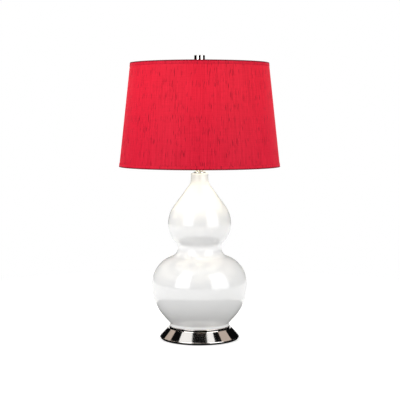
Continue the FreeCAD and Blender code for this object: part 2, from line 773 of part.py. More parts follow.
def ceramic_piece(label, *left_out):
    """A stretch of the slip-cast double gourd: even wall, thick floor and top, pipe's hole.

    The gourd is drawn whole each time, and the heights that other pieces cover are cut away.
    """
    body = new_body(label)
    outside = new_sketch(body, "Outside")
    gourd_outline(outside, ZERO, ceramic_bottom, neck_top)
    solid = revolve(body, outside)
    doc.recompute()
    edge = body.newObject("PartDesign::Fillet", "NeckEdge")
    edge.Base = (solid, circle_edges(solid.Shape, dim.neck_radius.value, neck_top.value))
    edge.setExpression("Radius", dim.neck_rounding.formula)
    doc.recompute()
    inside = new_sketch(body, "Inside")
    gourd_outline(inside, dim.ceramic_wall, ceramic_bottom + dim.ceramic_end,
                  neck_top - dim.ceramic_end)
    groove(body, inside)
    hole = new_sketch(body, "PipeHole", "XY_Plane")
    ring(hole, ceramic_hole)
    pocket(body, hole, both_ways=True)
    reach = dim.lower_radius + dim.ceramic_wall
    for number, (low, high) in enumerate(left_out, start=1):
        rest = new_sketch(body, f"Rest{number}")
        trace(rest, [(0, low), (reach, low), (reach, high), (0, high)])
        groove(body, rest, name=f"Trim{number}")
    return body


# ---------------------------------------------------------------- cap, stem and saddle

def neck_gasket():
    return washer("neck_gasket", dim.cap_radius - dim.cap_rounding, pipe_hole, dim.neck_gasket,
                  neck_top)


def vase_cap():
    """Small cap that flares from the stem to an upright rim."""
    flare = dim.cap_height - dim.cap_edge - dim.cap_rounding
    return turned("vase_cap", [
        (pipe_hole, 0),
        (dim.cap_radius, 0, dim.cap_rounding / 2),
        (dim.cap_radius, dim.cap_edge, dim.cap_rounding),
        (dim.stem_radius, dim.cap_edge + dim.cap_rounding, flare / 2),
        (dim.stem_radius, dim.cap_height),
        (pipe_hole, dim.cap_height),
    ], cap_bottom)


def neck_stem():
    return tube("neck_stem", dim.stem_radius, pipe_hole, dim.stem_length, stem_bottom)


def harp_saddle():
    """Strip with upturned arms, a peg on each arm and a hole for the pipe."""
    body = new_body("harp_saddle", z=saddle_bottom)
    thick = dim.saddle_thickness
    outer = dim.harp_foot_spread + thick / 2
    inner = outer - thick
    bend = dim.saddle_bend
    strip = new_sketch(body, "Strip")
    trace(strip, [
        (-outer, 0, bend),
        (outer, 0, bend),
        (outer, dim.saddle_rise),
        (inner, dim.saddle_rise),
        (inner, thick, bend - thick),
        (-inner, thick, bend - thick),
        (-inner, dim.saddle_rise),
        (-outer, dim.saddle_rise),
    ])
    pad(body, strip, (pipe_hole + dim.saddle_margin) * 2, both_ways=True)
    doc.recompute()
    pegs = new_sketch(body, "Pegs", "XY_Plane", lift=dim.saddle_rise - thick)
    ring(pegs, dim.harp_wire_radius, dim.harp_foot_spread)
    ring(pegs, dim.harp_wire_radius, -dim.harp_foot_spread)
    pad(body, pegs, dim.peg_height + thick, name="PegPad")
    doc.recompute()
    hole = new_sketch(body, "PipeHole", "XY_Plane")
    ring(hole, pipe_hole)
    pocket(body, hole, both_ways=True)
    return body


def saddle_nut():
    return hexagon_nut("saddle_nut", dim.nut_flats, dim.saddle_nut_thickness, saddle_top)


# ---------------------------------------------------------------- socket

def socket_cap():
    """Bell of the socket: threaded neck, floor and upright rim."""
    inner = socket_radius - dim.socket_sheet
    sheet = dim.socket_sheet
    body = turned("socket_cap", [
        (pipe_hole, 0),
        (bush_radius, 0, sheet),
        (bush_radius, dim.bush_height),
        (socket_radius, dim.bush_height, sheet * 3),
        (socket_radius, dim.socket_cap_height),
        (inner, dim.socket_cap_height),
        (inner, dim.bush_height + sheet, sheet * 2),
        (pipe_hole, dim.bush_height + sheet),
    ], socket_bottom)
    doc.recompute()
    slot = new_sketch(body, "KeySlot")
    key_opening(slot, dim.key_height)
    pocket(body, slot, length=socket_radius + sheet, backwards=True)
    hole = new_sketch(body, "ScrewHole", "XZ_Plane")
    ring(hole, dim.set_screw_radius + dim.socket_play, y=dim.bush_height / 2)
    pocket(body, hole, length=bush_radius + sheet)
    return body


def key_opening(sketch, height):
    """A round opening for the key, at a height."""
    ring(sketch, dim.key_shaft_radius + dim.running_gap * 2, y=height)


def socket_set_screw():
    """Small screw through the back of the socket cap's neck, down to the pipe."""
    length = bush_radius - dim.pipe_radius
    return turned("socket_set_screw", [
        (0, 0),
        (dim.set_screw_radius, 0),
        (dim.set_screw_radius, length, dim.set_screw_radius / 4),
        (0, length),
    ], z=socket_bottom + dim.bush_height / 2, y=dim.pipe_radius + dim.socket_play,
        turn=about((1, 0, 0), -90))


def socket_core():
    """Switch block: a cylinder with a wire recess, two flats and the key's hole."""
    body = turned("socket_core", [
        (dim.pipe_bore_radius, 0),
        (core_radius, 0),
        (core_radius, dim.core_height),
        (0, dim.core_height),
        (0, dim.core_height / 2),
        (dim.pipe_bore_radius, dim.core_height / 2),
    ], core_bottom)
    doc.recompute()
    flats = new_sketch(body, "TerminalFlats", "XY_Plane", lift=dim.core_height / 4)
    near = core_radius - dim.core_recess
    far = core_radius + 1
    for low, high in ((near, far), (-far, -near)):
        trace(flats, [
            (low, -core_radius),
            (high, -core_radius),
            (high, core_radius),
            (low, core_radius),
        ])
    pocket(body, flats, length=dim.core_height / 2, backwards=True)
    hole = new_sketch(body, "KeyHole")
    key_opening(hole, key_axis - core_bottom)
    pocket(body, hole, length=core_radius + 1, backwards=True)
    return body


def terminal_screws():
    """The two terminal screws, one on each flat of the switch block."""
    body = new_body("terminal_screws", z=core_bottom + dim.core_height / 2)
    body.AllowCompound = True
    head = new_sketch(body, "Head", "YZ_Plane", lift=core_radius - dim.core_recess)
    ring(head, dim.terminal_radius)
    screw = pad(body, head, dim.core_recess * 0.75)
    doc.recompute()
    other = body.newObject("PartDesign::Mirrored", "OtherScrew")
    other.Originals = [screw]
    other.MirrorPlane = (origin_item(body, "YZ_Plane"), [""])
    body.Tip = other
    return body


def screw_shell():
    """Threaded cup that takes the bulb, as a plain tube."""
    return tube("screw_shell", screw_radius, screw_radius - dim.screw_shell_sheet,
                shell_top - core_top - dim.socket_sheet, core_top)


def centre_contact():
    return disc("centre_contact", dim.bulb_tip_radius, dim.contact_height, core_top)


def holed_tube(label, outer, sheet, height, z):
    """A tube of the socket with the key's opening in front."""
    body = tube(label, outer, outer - sheet, height, z)
    doc.recompute()
    hole = new_sketch(body, "KeyHole")
    key_opening(hole, key_axis - z)
    pocket(body, hole, length=outer + 1, backwards=True)
    return body


def socket_liner():
    return holed_tube("socket_liner", liner_radius, dim.liner_sheet,
                      dim.shell_height - dim.socket_sheet, shell_bottom)


def socket_shell():
    return holed_tube("socket_shell", shell_radius, dim.socket_sheet, dim.shell_height, shell_bottom)


# ---------------------------------------------------------------- switch key

def switch_shaft():
    return turned("switch_shaft", [
        (0, 0),
        (dim.key_shaft_radius, 0),
        (dim.key_shaft_radius, key_end - dim.key_inset),
        (0, key_end - dim.key_inset),
    ], z=key_axis, y=-dim.key_inset, turn=about((1, 0, 0), 90))


def switch_knob():
    """Turn knob on the end of the shaft, ribbed along its side."""
    rounding = dim.key_shaft_radius / 2
    body = turned("switch_knob", [
        (0, 0),
        (dim.key_knob_radius, 0, rounding),
        (dim.key_knob_radius, dim.key_knob_length, rounding),
        (0, dim.key_knob_length),
    ], z=key_axis, y=-key_end, turn=about((1, 0, 0), 90))
    doc.recompute()
    flute = new_sketch(body, "Flute", "XY_Plane")
    ring(flute, rounding, dim.key_knob_radius + rounding / 2)
    cut = pocket(body, flute, both_ways=True)
    flutes = body.newObject("PartDesign::PolarPattern", "Flutes")
    flutes.Originals = [cut]
    flutes.Axis = (flute, ["N_Axis"])
    flutes.Angle = 360
    flutes.setExpression("Occurrences", dim.key_rib_count.formula)
    body.Tip = flutes
    return body


# ---------------------------------------------------------------- bulb

def bulb_tip_contact():
    return disc("bulb_tip_contact", dim.bulb_tip_radius, dim.bulb_tip_height, bulb_bottom)


def bulb_cap_insulator():
    return turned("bulb_cap_insulator", [
        (0, 0),
        (dim.bulb_tip_radius + 1, 0),
        (dim.bulb_cap_radius - 2, dim.bulb_insulator_height),
        (0, dim.bulb_insulator_height),
    ], bulb_bottom + dim.bulb_tip_height)


def bulb_cap():
    wall = dim.screw_shell_sheet
    return turned("bulb_cap", [
        (dim.bulb_cap_radius - wall * 4, 0),
        (dim.bulb_cap_radius, 0, wall * 2),
        (dim.bulb_cap_radius, dim.bulb_cap_height),
        (dim.bulb_cap_radius - wall, dim.bulb_cap_height),
        (dim.bulb_cap_radius - wall, wall * 4),
        (dim.bulb_cap_radius - wall * 4, wall * 4),
    ], bulb_cap_bottom)


def globe_outline(sketch, inset):
    """Half of the bulb's glass, drawn inside its outer face by an inset, up from the cap."""
    radius = dim.bulb_radius - inset
    neck = bulb_neck_radius - inset
    middle = dim.bulb_length - dim.bulb_tip_height - dim.bulb_insulator_height
    middle = middle - dim.bulb_cap_height - dim.bulb_radius
    centre = flat(0, middle.value)
    corner = flat(neck.value, dim.bulb_neck_length.value)
    span = (corner - centre).Length
    touch = heading(centre, corner) + math.acos(radius.value / span)
    cheek = polar(centre, radius.value, touch)
    crown = flat(0, middle.value + radius.value)

    floor = new_line(sketch, flat(0, 0), flat(neck.value, 0))
    side = new_line(sketch, flat(neck.value, 0), corner)
    flare = new_line(sketch, corner, cheek)
    ball = new_arc(sketch, centre, cheek, crown, True)
    axis = new_line(sketch, crown, flat(0, 0))

    meet(sketch, (floor, 2), (side, 1))
    meet(sketch, (side, 2), (flare, 1))
    smooth(sketch, (flare, 2), ball[:2])
    meet(sketch, (ball[0], ball[2]), (axis, 1))
    meet(sketch, (axis, 2), (floor, 1))
    pin(sketch, floor, 1, ZERO, ZERO)
    pin(sketch, floor, 2, neck, ZERO)
    pin(sketch, side, 2, neck, dim.bulb_neck_length)
    pin(sketch, ball[0], 3, ZERO, middle)
    sketch.addConstraint(Sketcher.Constraint("PointOnObject", axis, 1, -2))
    bound(sketch, "Radius", ball[0], size=radius)


def bulb_globe():
    """Hollow glass, open at the cap."""
    body = new_body("bulb_globe", z=bulb_cap_top)
    outside = new_sketch(body, "Outside")
    globe_outline(outside, ZERO)
    revolve(body, outside)
    doc.recompute()
    inside = new_sketch(body, "Inside")
    globe_outline(inside, dim.bulb_glass)
    groove(body, inside)
    return body


def bulb_stem():
    """Glass mount inside the globe: a flare that closes the cap and a rod."""
    flare = bulb_neck_radius - dim.bulb_glass - dim.socket_play
    rod = flare / 4
    height = dim.bulb_neck_length * 2
    return turned("bulb_stem", [
        (0, 0),
        (flare, 0),
        (flare, dim.bulb_glass),
        (rod, dim.bulb_neck_length, rod),
        (rod, height, rod / 2),
        (0, height),
    ], bulb_cap_top)


def bulb_filament():
    """Two support wires on the stem and the filament stretched between them."""
    body = new_body("bulb_filament", z=bulb_cap_top + dim.bulb_neck_length * 2)
    wire = dim.screw_shell_sheet
    foot = wire * 4
    rise = dim.bulb_neck_length
    half = bulb_neck_radius
    path = new_sketch(body, "Path")
    trace(path, [
        (-foot, 0),
        (-foot, rise / 2, foot),
        (-half, rise, foot),
        (half, rise, foot),
        (foot, rise / 2, foot),
        (foot, 0),
    ], closed=False)
    section = new_sketch(body, "Section", "XY_Plane")
    ring(section, wire, -foot)
    pipe(body, section, path)
    return body


# ---------------------------------------------------------------- harp

def harp_hoop():
    """Bent wire: two feet, kicks outwards, and an arch into a flat strap with the stud's hole."""
    body = new_body("harp_hoop")
    strap_middle = strap_bottom + dim.harp_strap_thickness / 2
    overlap = dim.harp_strap_thickness * 1.5
    half_length = dim.harp_strap_length / 2
    half_width = dim.harp_strap_width / 2
    corner = dim.harp_strap_width / 4
    strap = new_sketch(body, "Strap", "XY_Plane", lift=strap_bottom)
    trace(strap, [
        (-half_length, -half_width, corner),
        (half_length, -half_width, corner),
        (half_length, half_width, corner),
        (-half_length, half_width, corner),
    ])
    pad(body, strap, dim.harp_strap_thickness, name="StrapPad")
    doc.recompute()
    leg = new_sketch(body, "Leg")
    trace(leg, [
        (dim.harp_foot_spread, harp_bottom),
        (dim.harp_foot_spread, harp_bottom + dim.harp_kick_start, dim.harp_kick_arc),
        (dim.harp_half_width, harp_bottom + dim.harp_kick_end, dim.harp_kick_arc),
        (dim.harp_half_width, strap_middle, dim.harp_arch),
        (half_length - overlap, strap_middle),
    ], closed=False)
    section = new_sketch(body, "WireSection", "XY_Plane", lift=harp_bottom)
    ring(section, dim.harp_wire_radius, dim.harp_foot_spread)
    wire = pipe(body, section, leg)
    doc.recompute()
    other = body.newObject("PartDesign::Mirrored", "OtherLeg")
    other.Originals = [wire]
    other.MirrorPlane = (origin_item(body, "YZ_Plane"), [""])
    body.Tip = other
    doc.recompute()
    hole = new_sketch(body, "StudHole", "XY_Plane")
    ring(hole, stud_bore)
    pocket(body, hole, both_ways=True)
    return body


def harp_sleeve(label, side):
    """Sleeve that covers the joint between a peg and a foot of the harp."""
    body = new_body(label, x=dim.harp_foot_spread * side, z=peg_bottom + dim.running_gap)
    bore = dim.harp_wire_radius + dim.sleeve_play
    outer = bore + dim.sleeve_wall
    edge = dim.sleeve_wall / 2
    sketch = new_sketch(body, "Section")
    trace(sketch, [
        (bore, 0),
        (outer, 0, edge),
        (outer, dim.sleeve_height, edge),
        (bore, dim.sleeve_height),
    ])
    revolve(body, sketch)
    return body


def harp_stud():
    """Swivel stud: closed end under the strap, shoulder above it, and the shade's thread."""
    low = strap_bottom - dim.running_gap - dim.stud_head_height
    shoulder = strap_top + dim.running_gap - low
    top = hub_top + dim.stud_reach - low
    edge = dim.running_gap * 2
    return turned("harp_stud", [
        (0, 0),
        (dim.stud_head_radius, 0, edge),
        (dim.stud_head_radius, dim.stud_head_height),
        (dim.stud_radius, dim.stud_head_height),
        (dim.stud_radius, shoulder),
        (dim.stud_shoulder_radius, shoulder),
        (dim.stud_shoulder_radius, shoulder + dim.stud_shoulder_height, edge),
        (dim.stud_radius, shoulder + dim.stud_shoulder_height),
        (dim.stud_radius, top, edge),
        (0, top),
    ], low)


# ---------------------------------------------------------------- finial

def finial_knob():
    """Polished cylinder on a narrower foot, with a blind hole for its threaded insert."""
    shoulder = dim.finial_height - dim.finial_cylinder
    chamfer = dim.finial_chamfer
    bore = dim.insert_radius + dim.socket_play
    depth = dim.insert_height + dim.finial_chamfer
    return turned("finial_knob", [
        (bore, 0),
        (dim.finial_neck_radius, 0),
        (dim.finial_neck_radius, shoulder, chamfer),
        (dim.finial_radius, shoulder, chamfer),
        (dim.finial_radius, dim.finial_height, chamfer),
        (0, dim.finial_height),
        (0, depth),
        (bore, depth),
    ], finial_bottom)


def finial_insert():
    return tube("finial_insert", dim.insert_radius, stud_bore, dim.insert_height, finial_bottom)


# ---------------------------------------------------------------- shade

def cone_sheet(label, outside, thickness, bottom, top, body=None, angle=None):
    """A sheet on the shade's taper, its outer face set in from the cloth's by a distance."""
    body = body or new_body(label)
    sketch = new_sketch(body, "Section")
    low = shade_radius(bottom) - outside
    high = shade_radius(top) - outside
    trace(sketch, [
        (low - thickness, bottom),
        (low, bottom),
        (high, top),
        (high - thickness, top),
    ])
    revolve(body, sketch, angle=angle)
    return body


def shade_fabric():
    return cone_sheet("shade_fabric", ZERO, dim.fabric_thickness,
                      shade_bottom + dim.trim_thickness, shade_top - dim.trim_thickness)


def shade_liner():
    return cone_sheet("shade_liner", dim.fabric_thickness, dim.liner_thickness,
                      shade_bottom + dim.trim_thickness, shade_top - dim.trim_thickness)


def shade_seam():
    """Lapped seam of the cloth, up the back between the edgings."""
    body = new_body("shade_seam", turn=about((0, 0, 1), 90))
    return cone_sheet("shade_seam", -dim.seam_thickness, dim.seam_thickness,
                      shade_bottom + dim.trim_outside, shade_top - dim.trim_outside,
                      body, dim.seam_angle)


def ring_place(edge, inwards):
    """Radius and height of a wire ring's middle, inside the liner and close to an edge."""
    height = edge + (dim.trim_thickness + dim.ring_play + dim.ring_wire_radius) * inwards
    sheets = dim.fabric_thickness + dim.liner_thickness
    radius = shade_radius(height) - sheets - dim.ring_play * 2 - dim.ring_wire_radius
    return radius, height


def wire_ring(label, edge, inwards):
    """A wire ring of the shade."""
    radius, height = ring_place(edge, inwards)
    torus = doc.addObject("Part::Torus", label)
    torus.Label = label
    torus.setExpression("Radius1", radius.formula)
    torus.setExpression("Radius2", dim.ring_wire_radius.formula)
    torus.setExpression("Placement.Base.z", height.formula)
    return torus


def folded_trim(label, edge, inwards):
    """Edging folded over an edge of the shade: outside leg, crown over the ring, inside leg."""
    thick = dim.trim_thickness
    sheets = dim.fabric_thickness + dim.liner_thickness
    inside = sheets + dim.ring_wire_radius * 2 + dim.ring_play * 4
    outer_end = edge + dim.trim_outside * inwards
    inner_end = edge + dim.trim_inside * inwards
    crown = edge + thick * inwards
    body = new_body(label)
    sketch = new_sketch(body, "Section")
    corners = [
        (shade_radius(outer_end), outer_end),
        (shade_radius(outer_end) + thick, outer_end),
        (shade_radius(edge) + thick, edge, dim.trim_rounding),
        (shade_radius(edge) - inside - thick, edge, dim.trim_rounding),
        (shade_radius(inner_end) - inside - thick, inner_end),
        (shade_radius(inner_end) - inside, inner_end),
        (shade_radius(crown) - inside, crown),
        (shade_radius(crown), crown),
    ]
    trace(sketch, corners)
    revolve(body, sketch)
    return body


def shade_top_trim():
    """Upper edging, notched inside where the spider's arms pass through to the ring."""
    body = folded_trim("shade_top_trim", shade_top, -1)
    doc.recompute()
    inner_end = shade_top - dim.trim_inside
    crown = shade_top - dim.trim_thickness
    sheets = dim.fabric_thickness + dim.liner_thickness
    inner_face = shade_radius(inner_end) - sheets - dim.ring_wire_radius * 2 - dim.ring_play * 4
    start = inner_face - dim.trim_thickness * 3
    half = dim.ring_wire_radius + dim.ring_play * 2
    notch = new_sketch(body, "Notch", "YZ_Plane", lift=start)
    trace(notch, [(-half, inner_end - 1), (half, inner_end - 1), (half, crown), (-half, crown)])
    cut = pocket(body, notch, length=dim.trim_thickness * 4, backwards=True)
    notches = body.newObject("PartDesign::PolarPattern", "Notches")
    notches.Originals = [cut]
    notches.Axis = (origin_item(body, "Z_Axis"), [""])
    notches.Angle = 360
    notches.setExpression("Occurrences", dim.arm_count.formula)
    body.Tip = notches
    body.Placement = FreeCAD.Placement(FreeCAD.Vector(0, 0, 0), about((0, 0, 1), 90))
    return body


def shade_spider():
    """Washer hub and three wires that run out level and rise to the upper ring."""
    body = new_body("shade_spider")
    hub = new_sketch(body, "Hub", "XY_Plane", lift=hub_bottom)
    ring(hub, dim.hub_radius)
    ring(hub, stud_bore)
    pad(body, hub, dim.hub_thickness)
    doc.recompute()
    ring_radius, ring_height = ring_place(shade_top, -1)
    start = dim.hub_radius - dim.hub_thickness
    level = hub_bottom + dim.hub_thickness / 2
    reach = ring_radius - dim.ring_wire_radius - dim.ring_play * 2
    path = new_sketch(body, "ArmPath")
    trace(path, [
        (start, level),
        (reach - dim.arm_bend_inset, level, dim.arm_bend),
        (reach, ring_height),
    ], closed=False)
    section = new_sketch(body, "ArmWire", "YZ_Plane", lift=start)
    ring(section, dim.ring_wire_radius, y=level)
    arm = pipe(body, section, path, "Arm")
    doc.recompute()
    arms = body.newObject("PartDesign::PolarPattern", "Arms")
    arms.Originals = [arm]
    arms.Axis = (hub, ["N_Axis"])
    arms.Angle = 360
    arms.setExpression("Occurrences", dim.arm_count.formula)
    body.Tip = arms
    body.Placement = FreeCAD.Placement(FreeCAD.Vector(0, 0, 0), about((0, 0, 1), 90))
    return body


# ---------------------------------------------------------------- the whole lamp

def whole_lamp():
    """Every part, from the floor up."""
    yield felt_pad()
    yield bottom_board()
    yield base_skirt()
    yield lead_bush()
    yield base_weight()
    yield bottom_washer()
    yield bottom_lock_washer()
    yield bottom_nut()
    yield lamp_pipe()
    yield foot_gasket()
    below = ceramic_bottom - dim.ceramic_wall
    above = neck_top + dim.ceramic_wall
    yield ceramic_piece("ceramic_lower", (waist_height, above))
    yield ceramic_piece("ceramic_upper", (below, waist_height), (neck_joint, above))
    yield ceramic_piece("ceramic_neck", (below, neck_joint))
    yield neck_gasket()
    yield vase_cap()
    yield neck_stem()
    yield harp_saddle()
    yield saddle_nut()
    yield socket_cap()
    yield socket_set_screw()
    yield socket_core()
    yield terminal_screws()
    yield screw_shell()
    yield centre_contact()
    yield socket_liner()
    yield socket_shell()
    yield switch_shaft()
    yield switch_knob()
    yield bulb_tip_contact()
    yield bulb_cap_insulator()
    yield bulb_cap()
    yield bulb_globe()
    yield bulb_stem()
    yield bulb_filament()
    yield harp_hoop()
    yield harp_sleeve("harp_sleeve_right", 1)
    yield harp_sleeve("harp_sleeve_left", -1)
    yield harp_stud()
    yield finial_knob()
    yield finial_insert()
    yield shade_spider()
    yield wire_ring("shade_top_ring", shade_top, -1)
    yield wire_ring("shade_bottom_ring", shade_bottom, 1)
    yield shade_liner()
    yield shade_fabric()
    yield shade_seam()
    yield shade_top_trim()
    yield folded_trim("shade_bottom_trim", shade_bottom, 1)


def check(parts):
    """Stop if any feature failed, a sketch is loose, or a part is empty or broken."""
    for item in doc.Objects:
        if "Invalid" in item.State or "Error" in item.State:
            raise ValueError(f"{item.Label}: {item.State}")
        if item.isDerivedFrom("Sketcher::SketchObject") and not item.FullyConstrained:
            raise ValueError(f"{item.Label} of {item.getParentGeoFeatureGroup().Label} is loose")
    for part in parts:
        if part.Shape.isNull() or not part.Shape.isValid() or not part.Shape.Solids:
            raise ValueError(f"{part.Label}: no valid solid")


def main():
    parts = list(whole_lamp())
    doc.recompute()
    check(parts)
    os.makedirs("parts", exist_ok=True)
    for part in parts:
        part.Shape.exportStep(f"parts/{part.Label}.step")
        print(f"{part.Label}: {len(part.Shape.Solids)} solid(s), {part.Shape.Volume:.1f} mm3")


main()
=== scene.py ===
"""Looks of the double gourd lamp: glazed ceramic, polished nickel, slubbed red shade, studio."""

import json
import math

import bmesh
import bpy
from mathutils import Matrix, Vector

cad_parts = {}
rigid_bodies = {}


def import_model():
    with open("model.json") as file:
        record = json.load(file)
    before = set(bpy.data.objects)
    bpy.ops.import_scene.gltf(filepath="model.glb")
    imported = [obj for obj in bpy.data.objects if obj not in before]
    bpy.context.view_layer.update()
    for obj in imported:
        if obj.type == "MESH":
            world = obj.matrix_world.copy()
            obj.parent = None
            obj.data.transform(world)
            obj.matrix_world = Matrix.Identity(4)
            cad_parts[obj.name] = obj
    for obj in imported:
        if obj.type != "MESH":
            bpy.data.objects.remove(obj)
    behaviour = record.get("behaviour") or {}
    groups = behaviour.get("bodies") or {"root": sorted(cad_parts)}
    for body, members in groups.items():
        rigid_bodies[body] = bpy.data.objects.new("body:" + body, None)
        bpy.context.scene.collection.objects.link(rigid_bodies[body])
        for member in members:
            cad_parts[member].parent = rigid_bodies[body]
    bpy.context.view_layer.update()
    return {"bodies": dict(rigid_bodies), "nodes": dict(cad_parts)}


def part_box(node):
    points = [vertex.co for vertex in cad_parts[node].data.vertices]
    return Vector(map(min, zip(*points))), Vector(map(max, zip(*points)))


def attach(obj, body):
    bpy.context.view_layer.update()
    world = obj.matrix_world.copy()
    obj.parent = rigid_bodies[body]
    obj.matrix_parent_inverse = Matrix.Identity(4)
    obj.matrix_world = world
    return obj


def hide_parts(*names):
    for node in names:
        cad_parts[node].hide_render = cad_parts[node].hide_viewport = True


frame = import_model()
bpy.context.view_layer.update()

MM = 0.001
FULL_TURN = math.tau


# ---------------------------------------------------------------- shader sums

class Socket:
    """A shader socket that can be used in sums."""

    def __init__(self, finish, socket):
        self.finish = finish
        self.socket = socket

    def maths(self, operation, *others, clamp=False):
        settings = {"operation": operation, "use_clamp": clamp}
        return self.finish.node("ShaderNodeMath", settings, self, *others)

    def __add__(self, other):
        return self.maths("ADD", other)

    def __radd__(self, other):
        return self.maths("ADD", other)

    def __sub__(self, other):
        return self.maths("SUBTRACT", other)

    def __rsub__(self, other):
        return self.finish.node("ShaderNodeMath", {"operation": "SUBTRACT"}, other, self)

    def __mul__(self, other):
        return self.maths("MULTIPLY", other)

    def __rmul__(self, other):
        return self.maths("MULTIPLY", other)

    def clamped(self):
        return self.maths("ADD", 0, clamp=True)

    def between(self, low, high):
        """0 at low, 1 at high, smooth in between."""
        settings = {"interpolation_type": "SMOOTHSTEP"}
        return self.finish.node("ShaderNodeMapRange", settings, self, low, high, 0, 1)


class Finish:
    """The nodes of a material, or of the world."""

    def __init__(self, name, library=bpy.data.materials):
        self.owner = library.new(name)
        self.owner.use_nodes = True
        self.tree = self.owner.node_tree
        self.tree.nodes.clear()

    def node(self, kind, settings=None, *values, output=0, **named):
        """Add a node, set its settings, feed its sockets by position or name, return an output."""
        made = self.tree.nodes.new(kind)
        for key, value in (settings or {}).items():
            setattr(made, key, value)
        for place, value in [*enumerate(values), *named.items()]:
            key = place.replace("_", " ") if isinstance(place, str) else place
            self.feed(made.inputs[key], value)
        return Socket(self, made.outputs[output]) if made.outputs else None

    def feed(self, socket, value):
        """Link a socket, or give it its own value; None leaves it as it is."""
        if isinstance(value, Socket):
            self.tree.links.new(value.socket, socket)
        elif isinstance(value, tuple) and len(value) == 3 and socket.type == "RGBA":
            socket.default_value = (*value, 1)
        elif value is not None:
            socket.default_value = value

    def place(self, scale=(1, 1, 1)):
        """Coordinates on the piece, stretched by a scale."""
        where = self.node("ShaderNodeTexCoord", None, output="Object")
        return self.node("ShaderNodeMapping", None, where, (0, 0, 0), (0, 0, 0), scale)

    def noise(self, where, scale, detail=2, roughness=0.5, distortion=0):
        return self.node("ShaderNodeTexNoise", None, Vector=where, Scale=scale, Detail=detail,
                         Roughness=roughness, Distortion=distortion)

    def mix(self, share, first, second):
        """Mix two colours by a share; the node's sockets for numbers and vectors stay unused."""
        unused = [None] * 5
        return self.node("ShaderNodeMix", {"data_type": "RGBA"}, share, *unused, first, second,
                         output=2)

    def bump(self, height, distance, strength):
        return self.node("ShaderNodeBump", None, Strength=strength, Distance=distance,
                         Height=height)

    def seen(self):
        """1 where a camera, a mirror or glass looks, 0 for the rays that light things."""
        rays = [self.node("ShaderNodeLightPath", None, output="Is " + kind + " Ray")
                for kind in ("Camera", "Glossy", "Transmission")]
        return (rays[0] + rays[1] + rays[2]).clamped()

    def shade(self, **named):
        """Principled shader on the surface, its sockets named with underscores."""
        return self.surface(self.node("ShaderNodeBsdfPrincipled", None, **named))

    def surface(self, shader, output="ShaderNodeOutputMaterial"):
        """Put a shader on the output, and hand over the finished material or world."""
        self.node(output, None, shader)
        return self.owner


# ---------------------------------------------------------------- sizes of the cloth

SHEET = 0.8 * MM
TRIM_OUTSIDE = 10.0 * MM
TRIM_INSIDE = 7.0 * MM
TRIM_PROUD = 0.6 * MM
LAP_PROUD = 0.5 * MM
SEAM_WIDTH = math.radians(3.4)
SHADE_STEPS = 360
CLOTH_MAP = "cloth"          # UV map in metres: along the cloth and up it

shade_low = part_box("shade_fabric")[0].z
shade_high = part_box("shade_fabric")[1].z
low_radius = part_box("shade_fabric")[1].x


def top_radius():
    """Outside radius of the cloth at its upper edge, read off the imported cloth."""
    node = frame["nodes"]["shade_fabric"]
    edge = [v.co for v in node.data.vertices if v.co.z > shade_high - 0.5 * MM]
    return max(math.hypot(co.x, co.y) for co in edge)


high_radius = top_radius()
taper = (low_radius - high_radius) / (shade_high - shade_low)


def shade_radius(height):
    return high_radius + (shade_high - height) * taper


# ---------------------------------------------------------------- finishes

def polished_nickel():
    """Mirror nickel plate with the faint haze that handling leaves."""
    finish = Finish("polished_nickel")
    haze = finish.noise(finish.place(), 28, detail=4)
    lines = finish.noise(finish.place((1, 1, 40)), 60, detail=3)
    colour = finish.mix(haze, (0.83, 0.80, 0.765), (0.90, 0.875, 0.85))
    return finish.shade(Base_Color=colour, Metallic=1.0, Roughness=haze * 0.05 + 0.035,
                        Normal=finish.bump(lines, 0.02 * MM, 0.25))


def plated_metal(name, dark, light, roughness, stretch=(1, 1, 1)):
    """Plated or turned metal: uneven plate, fine lines along one way."""
    finish = Finish(name)
    cloud = finish.noise(finish.place(), 45, detail=5, roughness=0.6)
    lines = finish.noise(finish.place(stretch), 500, detail=2)
    colour = finish.mix(cloud * 0.7 + lines * 0.3, dark, light)
    return finish.shade(Base_Color=colour, Metallic=1.0,
                        Roughness=cloud * 0.14 + lines * 0.08 + roughness,
                        Normal=finish.bump(lines, 0.04 * MM, 0.4))


def cast_iron():
    finish = Finish("cast_weight")
    grain = finish.noise(finish.place(), 900, detail=4)
    scale = finish.noise(finish.place(), 60, detail=4)
    colour = finish.mix(scale, (0.035, 0.035, 0.037), (0.12, 0.11, 0.10))
    return finish.shade(Base_Color=colour, Metallic=0.6, Roughness=grain * 0.25 + 0.55,
                        Normal=finish.bump(grain, 0.3 * MM, 0.6))


def white_glaze():
    """Clear gloss glaze over a white body: faint clouds, a few pinholes, slow waves."""
    finish = Finish("white_glaze")
    where = finish.place()
    clouds = finish.noise(where, 14, detail=4, roughness=0.55)
    waves = finish.noise(where, 22, detail=1)
    specks = finish.noise(where, 420, detail=1).between(0.74, 0.80)
    body = finish.mix(clouds, (0.905, 0.907, 0.902), (0.935, 0.935, 0.930))
    colour = finish.mix(specks * 0.25, body, (0.62, 0.58, 0.52))
    return finish.shade(Base_Color=colour, Roughness=clouds * 0.03 + 0.03, IOR=1.62,
                        Specular_IOR_Level=0.75,
                        Normal=finish.bump(waves - specks * 0.4, 0.5 * MM, 0.18))


def plastic(name, dark, light, roughness, grain=700, depth=0.05):
    """Moulded plastic with a fine grain."""
    finish = Finish(name)
    pits = finish.noise(finish.place(), grain, detail=3)
    cloud = finish.noise(finish.place(), 40, detail=3)
    colour = finish.mix(cloud, dark, light)
    return finish.shade(Base_Color=colour, Roughness=pits * 0.15 + roughness,
                        Normal=finish.bump(pits, depth * MM, 0.5))


